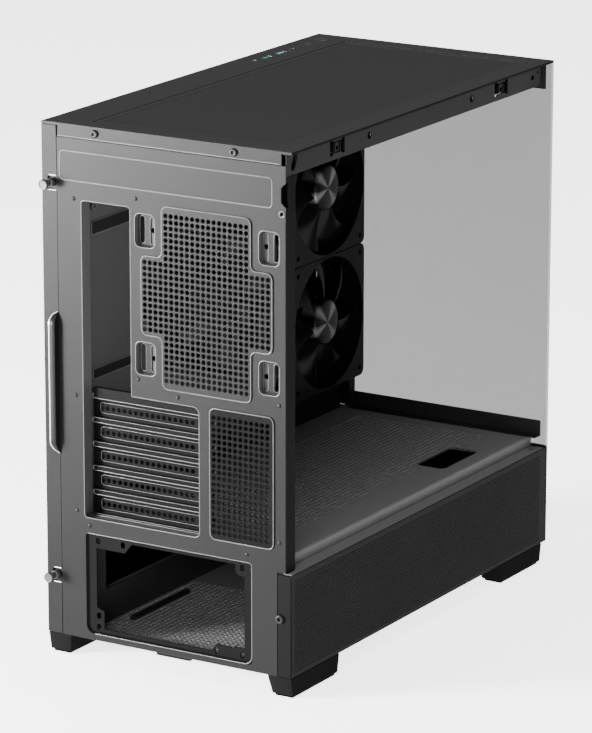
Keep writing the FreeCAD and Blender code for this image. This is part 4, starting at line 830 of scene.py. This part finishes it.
# ---- right panel and its thumbscrews
def right_panel():
    """The right panel's rear flange and outer skin, its swept grip and its two knurled thumbscrews."""
    edge = WIDE - 14.3
    top = 429.5 - 2.3
    b = Build()
    knob_z = [(Vector(JOINT[n]["pos_m"]).z - BASE) / MM for n in ("upper_knob_turn", "lower_knob_turn")]
    outline = [(edge, 0.3), (WIDE, 0.3), (WIDE, top), (edge, top)]
    for z in sorted(knob_z, reverse=True):
        outline += rounded([(edge, z + 6), (edge + 8.6, z + 6), (edge + 8.6, z - 6), (edge, z - 6)], [0.6,
                                                                                                      2.6,
                                                                                                      2.6,
                                                                                                      0.6])
    b.plate([outline], 1.0, edge=0.3)
    rear = REAR_MM
    b.slab((WIDE - 1, WIDE), (0.3, DEEP - 4.3), (0.3, top), 0.35)
    for z in knob_z:
        b.slab((edge - 0.2, edge + 10.5), (1.8, 2.6), (z - 7.5, z + 7.5), 0.2)
        for side in (-1, 1):
            b.slab((edge, edge + 9), (0.3, 2.4), (z + side * 6.4 - 0.5, z + side * 6.4 + 0.5), 0.2)
    low, high = 155.0, 274.0        # the grip
    steps, rings = 40, []
    for k in range(steps + 1):
        z = low + (high - low) * k / steps
        near = min(z - low, high - z)
        out = 1 - (1 - min(1, near / 9.0)) ** 2
        rise = 5.5 * min(1.0, near / 8.0)
        x1 = edge + 0.4 + 6.2 * math.sqrt(max(out, 0.0))
        rings.append([(edge + 0.2, 0), (edge + 0.2, rise), (edge + 0.6, rise + 0.25), (x1 - 2.2, rise + 0.2),
                      (x1 - 1.0, rise * 0.95), (x1 - 0.35, rise * 0.8), (x1, rise * 0.5), (x1 + 0.3, 0)])
    pts = [on_rear(x, low + (high - low) * k / steps, w) for k, ring in enumerate(rings) for x, w in ring]
    faces = [(k * 8 + j, k * 8 + j + 1, (k + 1) * 8 + j + 1,
              (k + 1) * 8 + j) for k in range(steps) for j in range(7)]
    b.add(pts, faces)
    b.make("right_panel_skin", "rear_steel", body="right_panel", stands_for=("right_side_panel",))
    # Bright lines along the grip's edge and the knob notches, in the bright edge material: painted
    # highlights.
    e = Build()
    line = [(ring[5][0], low + (high - low) * k / steps, ring[5][1]) for k, ring in enumerate(rings)]
    for k in range(6):
        quad = []
        for t in (math.pi * k / 3, math.pi * (k + 1) / 3):
            quad += [on_rear(x + 0.7 * math.cos(t), z, w + 0.7 * math.sin(t)) for x, z, w in line]
        n = len(line)
        e.add(quad, [(i, i + 1, n + i + 1, n + i) for i in range(n - 1)])
    for z in knob_z:
        for side in (-1, 1):
            e.bead([(edge + 0.4, z + side * 6.1), (edge + 7.4, z + side * 6.1)], 0.45, lift=-0.1,
                   closed=False)
    e.make("right_panel_edges", "painted_highlight_bright", body="right_panel")
    # A near-black strip beside the grip: painted shadow cast by the grip, also standing for the finger gap
    # under it.
    g = Build()
    g.slab((edge - 1.4, edge + 0.1), (-0.1, 1.0), (low + 4, high - 4), 0.2)
    g.make("grip_shadow_gap", "painted_shade_black", body="right_panel")
    for node, body in (("upper_thumbscrew", "upper_knob"), ("lower_thumbscrew", "lower_knob")):
        lo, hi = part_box(node)
        c = ((lo.x + hi.x) / 2, REAR, (lo.z + hi.z) / 2)
        k = Build()
        k.turned([(0.02, 11.75), (2.6, 11.75), (2.75, 11.9), (3.6, 12.0), (4.0, 11.75), (4.1, 11.3), (4.1,
                                                                                                      8.9),
                  (3.8, 8.4), (3.0, 8.3), (2.9, 7.9), (2.9, 3.4), (3.5, 3.0), (3.5, -1.0), (1.76, -1.05),
                  (1.76, -9.6),
                  (1.0, -10.1), (0.02, -10.1)], c, (0, 1, 0), 36)
        for i in range(24):
            t = 2 * math.pi * i / 24
            x, z = c[0] / MM + 4.05 * math.cos(t), c[2] / MM + 4.05 * math.sin(t)
            k.block((x - 0.14, rear + 9.0, z - 0.14), (x + 0.14, rear + 11.3, z + 0.14), 0.05, 1)
        k.make(node + "_knob", "knob_metal", body=body, stands_for=(node,))


# ---- top
def top():
    """The lid, its filter, the two buttons and the sockets beside them."""
    lid = softened("top_plate", 0.45, look="top_steel")
    # Painted light and shade by facing: the lid's rear-facing faces take the rear sheet's tone and its -X
    # faces the darker left tone, copies of one steel.
    lid.data.materials.append(LOOK["rear_steel"])
    lid.data.materials.append(LOOK["left_steel"])
    for face in lid.data.polygons:
        if face.normal.y > 0.6 and face.center.y > REAR - 0.006:
            face.material_index = 1
        if face.normal.x < -0.3:
            face.material_index = 2
    low, high = [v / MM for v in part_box("top_dust_filter")]
    level = high.z - BASE_MM
    x0, x1 = low.x, high.x
    v0, v1 = REAR_MM - high.y, REAR_MM - low.y
    border = rounded(rect(x0, v0, x1, v1), 4)
    inner = rounded(rect(x0 + 7, v0 + 7, x1 - 7, v1 - 7), 3)
    b = Build()
    b.plate([border, inner], 0.9, on_level(level), edge=0.25)
    b.make("top_filter_frame", "top_steel", body="top_filter", stands_for=("top_dust_filter",),
           slot="filter_mesh")
    m = Build()
    m.plate([inner], 0.5, on_level(level - 0.15), edge=0.1)
    m.make("top_filter_weave", "filter_weave", body="top_filter", slot="filter_mesh")
    for node, body, radius in (("power_button", "power", 5.8), ("reset_button", "reset", 2.8)):
        lo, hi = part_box(node)
        c = ((lo.x + hi.x) / 2, (lo.y + hi.y) / 2, hi.z)
        k = Build()
        k.turned([(0.02, -0.25), (radius * 0.6, -0.2), (radius - 0.5, -0.05), (radius - 0.2, -0.1), (radius,
                                                                                                     -0.35),
                  (radius, -3.9), (radius + 1.1, -3.9), (radius + 1.1, -5.0), (0.02, -5.0)], c, (0, 0, 1), 36)
        k.make(node + "_cap", "button_plastic", body=body, stands_for=(node,))
        # A thin ring round each button in the lighter edge material: a painted highlight.
        k = Build()
        k.turned([(radius + 0.3, -0.1), (radius + 0.45, 0.03), (radius + 0.75, 0.03), (radius + 0.9, -0.1)],
                 (c[0], c[1], TOP + 0.02 * MM), (0, 0, 1), 36)
        k.make(node + "_ring", "painted_highlight_edge")
    for number, (lo, hi) in enumerate(sorted(islands("usb_a_ports"), key=lambda p: p[0][1])):
        socket("usb_a_%d" % number, lo, hi, ("usb_a_ports",), 0.5, "usb_blue" if number == 0 else "usb_green")
    lo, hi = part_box("usb_c_port")
    socket("usb_c", np.array(lo), np.array(hi), ("usb_c_port",), 1.6, "dark_steel")
    lo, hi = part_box("audio_jack")
    k = Build()
    k.turned([(1.75, -13), (1.75, -0.2), (2.0, 0.05), (2.9, 0.08), (3.0, -0.1), (3.0, -14), (1.0, -14)],
             ((lo.x + hi.x) / 2, (lo.y + hi.y) / 2, hi.z), (0, 0, 1), 28)
    k.make("audio_jack_barrel", "bright_steel", stands_for=("audio_jack",))


def socket(name, lo, hi, nodes, radius, tongue_look):
    """A socket's plated shell with round corners, and its tongue."""
    x0, x1 = lo[0] / MM, hi[0] / MM
    v0, v1 = (REAR - hi[1]) / MM, (REAR - lo[1]) / MM
    up = (hi[2] - BASE) / MM
    level = on_level(up)
    b = Build()
    b.plate([rounded(rect(x0, v0, x1, v1), radius), rounded(rect(x0 + 0.45, v0 + 0.45, x1 - 0.45, v1 - 0.45),
                                                         max(0.3, radius - 0.4))], 12.0, level, edge=0.12)
    b.make(name + "_shell", "bright_steel", stands_for=nodes)
    t = Build()
    if radius < 1:
        t.slab((x0 + 2.4, x1 - 1.0), (v0 + 1.3, v1 - 1.3), (up - 12, up - 0.35), 0.3)
    else:
        mid = (x0 + x1) / 2
        t.slab((mid - 0.35, mid + 0.35), (v0 + 1.3, v1 - 1.3), (up - 12, up - 0.8), 0.2)
    t.make(name + "_tongue", tongue_look, slot="black_plastic")


def rail():
    """The top's left rail with its clip openings, and the clips in them."""
    lo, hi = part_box("top_left_rail")
    x = lo.x / MM
    v0, v1 = (lo.z - BASE) / MM, (hi.z - BASE) / MM
    u0, u1 = (REAR - hi.y) / MM, (REAR - lo.y) / MM
    up = 419.5
    b = Build()
    shapes = [pill(12.5, up, 3.0, 14.0, turn=-0.45), circle(128.7, up, 3.0, 16), circle(297.3, up, 3.0, 16),
              rounded(rect(402, 417, 406.5, 420.5), 0.6), circle(413.0, 422.2, 1.2, 10)]
    clips = Build()
    for u in (78.5, 348.5):
        h = [(-11.5, -6.2), (-7, -6.2), (-7, -4.6), (7, -4.6), (7, -6.2), (11.5, -6.2), (11.5, 6.2), (7, 6.2),
             (7, 4.6), (-7, 4.6), (-7, 6.2), (-11.5, 6.2)]
        shapes.append(rounded([(u + a, up + c) for a, c in h], 0.7, 2))
        face = on_left(x)
        clips.plate([rounded(rect(u - 5.6, up - 4.0, u + 5.6, up + 4.0), 1.2), circle(u, up - 1, 1.6, 14)],
                    6.0, face, edge=0.4,
                    lift=-0.4)
        for side in (-1, 1):
            clips.plate([rounded(rect(u + side * 3.9 - 0.5, up - 3.6, u + side * 3.9 + 0.5, up + 3.6), 0.4)],
                        0.7, face,
                        edge=0.15, lift=0.2)
        clips.plate([rounded(rect(u - 12.2, up - 6.9, u + 12.2, up + 6.9), 0.8)], 1.2, face, edge=0.2,
                    lift=-7.0)
        for side in (-1, 1):
            clips.slab((x + 1.2, x + 8.2), (u - side * 12.0 - 0.4, u - side * 12.0 + 0.4), (up - 6.9,
                                                                                            up + 6.9), 0.2)
    for u in (12.5, 128.7, 297.3, 404.0):
        clips.plate([rounded(rect(u - 5.5, up - 7.0, u + 5.5, up + 7.0), 2.0)], 1.0, on_left(x), edge=0.2,
                    lift=-2.6)
    b.plate([rounded(rect(u0, v0, u1, v1), 0.6)] + shapes, 1.0, on_left(x), edge=0.25)
    b.slab((x, x + 12), (u0, u1), (v1 - 1, v1), 0.3)
    b.make("left_rail", "rail_steel", stands_for=("top_left_rail",))
    clips.make("rail_clips", "clip_plastic", stands_for=("panel_sockets",), slot="black_plastic")


def inner_lines():
    """Near-black plates on the motherboard tray as painted shade standing for its cable slots, lighter beads
    round them as painted highlights on their folded edges, and the flange beside the shroud.
    """
    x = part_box("motherboard_tray")[0].x / MM
    dark, line = Build(), Build()
    for u0, v0, u1, v1 in ((24.0, 334.5, 82.0, 345.5), (24.0, 213.5, 96.0, 222.0)):
        dark.plate([rounded(rect(u0, v0, u1, v1), 1.5)], 0.4, on_left(x), edge=0.1, lift=0.35)
        line.bead(rounded(rect(u0, v0, u1, v1), 1.5), 0.4, on_left(x), lift=0.3)
    dark.make("tray_slot_shade", "painted_shade_black")
    line.make("tray_slot_edges", "painted_highlight_edge")
    side = Build()
    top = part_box("psu_shroud")[1].z / MM
    side.block((86.2, FRONT_MM + 5, top - 1.0), (101.0, FRONT_MM + 134, top - 0.1), 0.3)
    side.make("shroud_side_flange", "dark_steel")


base_sheet()
shroud()
left_panel()
right_panel()
top()
rail()
paint(NODES["standoffs"], "post_steel")
for node in ("foot_rear_left", "foot_rear_right", "foot_front_left", "foot_front_right"):
    softened(node, 1.2, steps=3, look="foot_black")
softened("foot_pads", 0.4)
softened("front_lower_panel", 0.6)
for node in ("front_top_rail", "front_bottom_rail", "front_right_pillar", "side_fan_bracket"):
    softened(node, 0.25, look="dark_steel")
softened("motherboard_tray", 0.25, look="tray_steel")
inner_lines()


# ---- fans
def painted_streak_cap(name, dark, light):
    """A cap with painted highlights: soft bright streaks in its colour that run round it, standing for the
    sheen of a brushed finish.
    """
    m = material(name, dark, 0.32, metal=0.3, specular=0.1)
    tree = m.node_tree
    shader = tree.nodes["Principled BSDF"]
    where = tree.nodes.new("ShaderNodeTexCoord")
    sweep = tree.nodes.new("ShaderNodeTexGradient")
    sweep.gradient_type = "RADIAL"
    tree.links.new(where.outputs["Object"], sweep.inputs["Vector"])
    ramp = tree.nodes.new("ShaderNodeValToRGB")
    stops = [(0.0, 0), (0.05, 1), (0.10, 0), (0.30, 0.05), (0.36, 0.7), (0.42, 0), (0.58, 0), (0.64, 0.9),
             (0.71, 0.05),
             (0.83, 0), (0.88, 0.8), (0.94, 0), (1.0, 0)]
    while len(ramp.color_ramp.elements) < len(stops):
        ramp.color_ramp.elements.new(0.5)
    for element, (at, amount) in zip(ramp.color_ramp.elements, stops):
        element.position = at
        element.color = (*[d + (l - d) * amount for d, l in zip(dark[:3], light[:3])], 1)
    tree.links.new(sweep.outputs["Fac"], ramp.inputs["Fac"])
    tree.links.new(ramp.outputs["Color"], shader.inputs["Base Color"])


painted_streak_cap("hub_cap", grey(0.03), grey(0.42))


def fan_axes(centre, axis):
    """Local frame of a fan: y up, z along the axis from the strut face to the open face."""
    up, z = Vector((0, 0, 1)), Vector(axis)
    m = Matrix((up.cross(z), up, z)).transposed().to_4x4()
    m.translation = Vector(centre)
    return m


def fan(prefix, place, cover):
    """The rotor of a 120 mm fan: a hub and seven swept blades. Each blade covers an angle, in degrees."""
    body = prefix + "_spin_part"
    # The rear fan sits in shade behind the grille; its blades and hub take the near-black inner tone as
    # painted shade.
    in_grille_shade = prefix == "rear_fan"

    def at(x, y, z):
        return np.array(place @ Vector((x * MM, y * MM, z * MM)))
    hub = Build()
    profile = [(0.02, 11.0), (9.0, 10.9), (15.5, 10.6), (18.5, 10.0), (20.0, 8.6), (20.5, 6.5), (20.5, -5.5),
               (19.5, -6.0), (0.02, -6.0)]
    hub.revolved(profile, at, 56)
    blades = Build()
    for number in range(7):
        start = 2 * math.pi * number / 7 + 0.35
        rows, cols, half = 13, 12, 0.6
        pts = []
        for face in (1, -1):
            for i in range(rows):
                s = i / (rows - 1)
                r = 20.0 + 37.2 * s
                sweep = start + 0.42 * s * s - 0.10 * s
                span = math.radians(cover - 4 * s) * (1 - 0.15 * max(0, s - 0.85) / 0.15)
                pitch = 9.5 - 3.2 * s
                for j in range(cols):
                    f = j / (cols - 1) - 0.5
                    t = sweep + span * f
                    camber = 1.7 * (1 - 4 * f * f)
                    height = 0.8 + pitch * 1.55 * f + camber + face * half * (1 - (2 * abs(f)) ** 6)
                    pts.append(at(r * math.cos(t), r * math.sin(t), height))
        half_n = rows * cols
        faces = []
        for side in (0, 1):
            for i in range(rows - 1):
                for j in range(cols - 1):
                    a = side * half_n + i * cols + j
                    quad = (a, a + 1, a + cols + 1, a + cols)
                    faces.append(quad if side == 0 else quad[::-1])
        rim = ([(0, j) for j in range(cols - 1)] + [(i, cols - 1) for i in range(rows - 1)]
               + [(rows - 1, j) for j in range(cols - 1, 0, -1)] + [(i, 0) for i in range(rows - 1, 0, -1)])
        ids = [i * cols + j for i, j in rim]
        for k in range(len(ids)):
            a, b = ids[k], ids[(k + 1) % len(ids)]
            faces.append((a, a + half_n, b + half_n, b))
        blades.add(pts, faces)
    blades.make(prefix + "_blades", "inner_black" if in_grille_shade else "blade_plastic", body=body,
                stands_for=(prefix + "_rotor",), slot="blade_plastic", smooth=0.9)
    cap = hub.make(prefix + "_hub", "inner_black" if in_grille_shade else "hub_cap", body=body, slot="blade_plastic",
                   smooth=0.5)
    # the hub gets the fan's own axes, so that its painted highlight streaks run round it
    cap.data.transform(place.inverted() @ cap.matrix_world)
    cap.matrix_world = place


def fan_frame(prefix, place):
    """The square frame with its round bore, screw bosses, motor seat and four struts."""

    def level(h):
        return lambda x, y, w: np.array(place @ Vector((x * MM, y * MM, (h + w) * MM)))
    half, bore = 60.0, 58.3
    outline = rounded(rect(-half, -half, half, half), 6)
    holes = [circle(sx * 52.5, sy * 52.5, 2.2, 14) for sx in (-1, 1) for sy in (-1, 1)]
    b = Build()
    for top, thick in ((12.5, 3.5), (-9.0, 3.5)):
        b.plate([outline, circle(0, 0, bore, 72)] + holes, thick, level(top), edge=0.35)
    stack = [(bore + 0.9, 12.1), (bore, 11.2), (bore, -12.1), (bore + 1.5, -12.1), (bore + 1.5, 12.1)]
    b.revolved(stack, level(0), 72)
    for sx in (-1, 1):
        for sy in (-1, 1):
            x, y = sx * 52.5, sy * 52.5
            c = circle(x, y, 4.2, 20)
            b.plate([c, circle(x, y, 2.2, 14)], 18.2, level(9.1), edge=0)
    b.plate([circle(0, 0, 19.5, 40)], 2.5, level(-9.5), edge=0.5)
    for k in range(4):
        t = math.pi / 4 + math.pi / 2 * k + 0.1
        ux, uy = math.cos(t), math.sin(t)
        line = [(ux * 18 - uy * 2.0, uy * 18 + ux * 2.0), (ux * 18 + uy * 2.0, uy * 18 - ux * 2.0),
                (ux * 59 + uy * 1.5 - uy * 9, uy * 59 - ux * 1.5 + ux * 9), (ux * 59 - uy * 1.5 - uy * 9,
                                                                             uy * 59 + ux * 1.5 + ux * 9)]
        b.plate([line], 3.0, level(-9.3), edge=0.3)
    # The rear fan's frame takes the near-black inner tone: painted shade behind the grille.
    b.make(prefix + "_frame_skin", "inner_black" if prefix == "rear_fan" else "fan_plastic",
           stands_for=(prefix + "_frame",), slot="fan_plastic")


for prefix in ("rear_fan", "side_fan_lower", "side_fan_upper"):
    at_rear = prefix == "rear_fan"
    lo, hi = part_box(prefix + "_frame")
    middle = (lo + hi) / 2
    spin = Vector(JOINT[prefix + "_spin"]["pos_m"])
    centre = (spin.x, middle.y, spin.z) if at_rear else (middle.x, spin.y, spin.z)
    place = fan_axes(centre, (0, -1, 0) if at_rear else (-1, 0, 0))
    fan(prefix, place, 38 if at_rear else 47)
    fan_frame(prefix, place)


# ---- stage
def floor_and_light():
    """A pale floor that gives off some light, a studio world and three soft panels."""
    bpy.ops.mesh.primitive_plane_add(size=30, location=(0, 0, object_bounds()[0][2]))
    floor = bpy.context.object
    floor.name = "floor"
    paper = material("floor_paper", (0.92, 0.92, 0.92, 1), 0.9, vary=0.01, specular=0.1)
    shader = paper.node_tree.nodes["Principled BSDF"]
    shader.inputs["Emission Color"].default_value = (1, 1, 1, 1)
    shader.inputs["Emission Strength"].default_value = 2.8
    floor.data.materials.append(paper)

    world = bpy.data.worlds.new("studio")
    bpy.context.scene.world = world
    world.use_nodes = True
    tree = world.node_tree
    back = tree.nodes["Background"]
    where = tree.nodes.new("ShaderNodeTexCoord")
    split = tree.nodes.new("ShaderNodeSeparateXYZ")
    ramp = tree.nodes.new("ShaderNodeValToRGB")
    ramp.color_ramp.elements[0].position = 0.25
    ramp.color_ramp.elements[0].color = (0.10, 0.10, 0.10, 1)
    ramp.color_ramp.elements[1].position = 0.8
    ramp.color_ramp.elements[1].color = (1, 1, 1, 1)
    tree.links.new(where.outputs["Generated"], split.inputs[0])
    tree.links.new(split.outputs["Z"], ramp.inputs["Fac"])
    tree.links.new(ramp.outputs["Color"], back.inputs["Color"])
    back.inputs["Strength"].default_value = 0.8

    def panel(name, spot, aim, wide, tall, power):
        data = bpy.data.lights.new(name, "AREA")
        data.shape = "RECTANGLE"
        data.size, data.size_y, data.energy = wide, tall, power
        lamp = bpy.data.objects.new(name, data)
        bpy.context.scene.collection.objects.link(lamp)
        lamp.location = spot
        lamp.rotation_euler = (Vector(aim) - Vector(spot)).to_track_quat("-Z", "Y").to_euler()
    panel("key", (1.60, 1.72, 0.38), (0.1, 0.21, 0.38), 0.8, 0.6, 520)
    panel("over", (-0.3, 0.3, 3.5), (0, 0, 0), 3.0, 3.0, 90)
    panel("fill", (-0.9, 2.3, 0.9), (0.0, 0.1, 0.15), 0.8, 0.8, 45)


def camera():
    """A long lens that looks at the rear and the open left side from a little above."""
    data = bpy.data.cameras.new("photo_view")
    data.lens = 214.46
    data.sensor_width = 36.0
    data.clip_end = 50
    cam = bpy.data.objects.new("photo_view", data)
    bpy.context.scene.collection.objects.link(cam)
    a, e = math.radians(211.115), math.radians(15.16)
    back = Vector((math.sin(a) * math.cos(e), -math.cos(a) * math.cos(e), math.sin(e)))
    aim = Vector((0.0025, 0.0054, 0.2124))
    turn = (-back).to_track_quat("-Z", "Y").to_matrix().to_4x4()
    cam.matrix_world = (Matrix.Translation(aim + back * 3.6624) @ turn
                        @ Matrix.Rotation(math.radians(0.05), 4, "Z"))
    bpy.context.scene.camera = cam


floor_and_light()
camera()
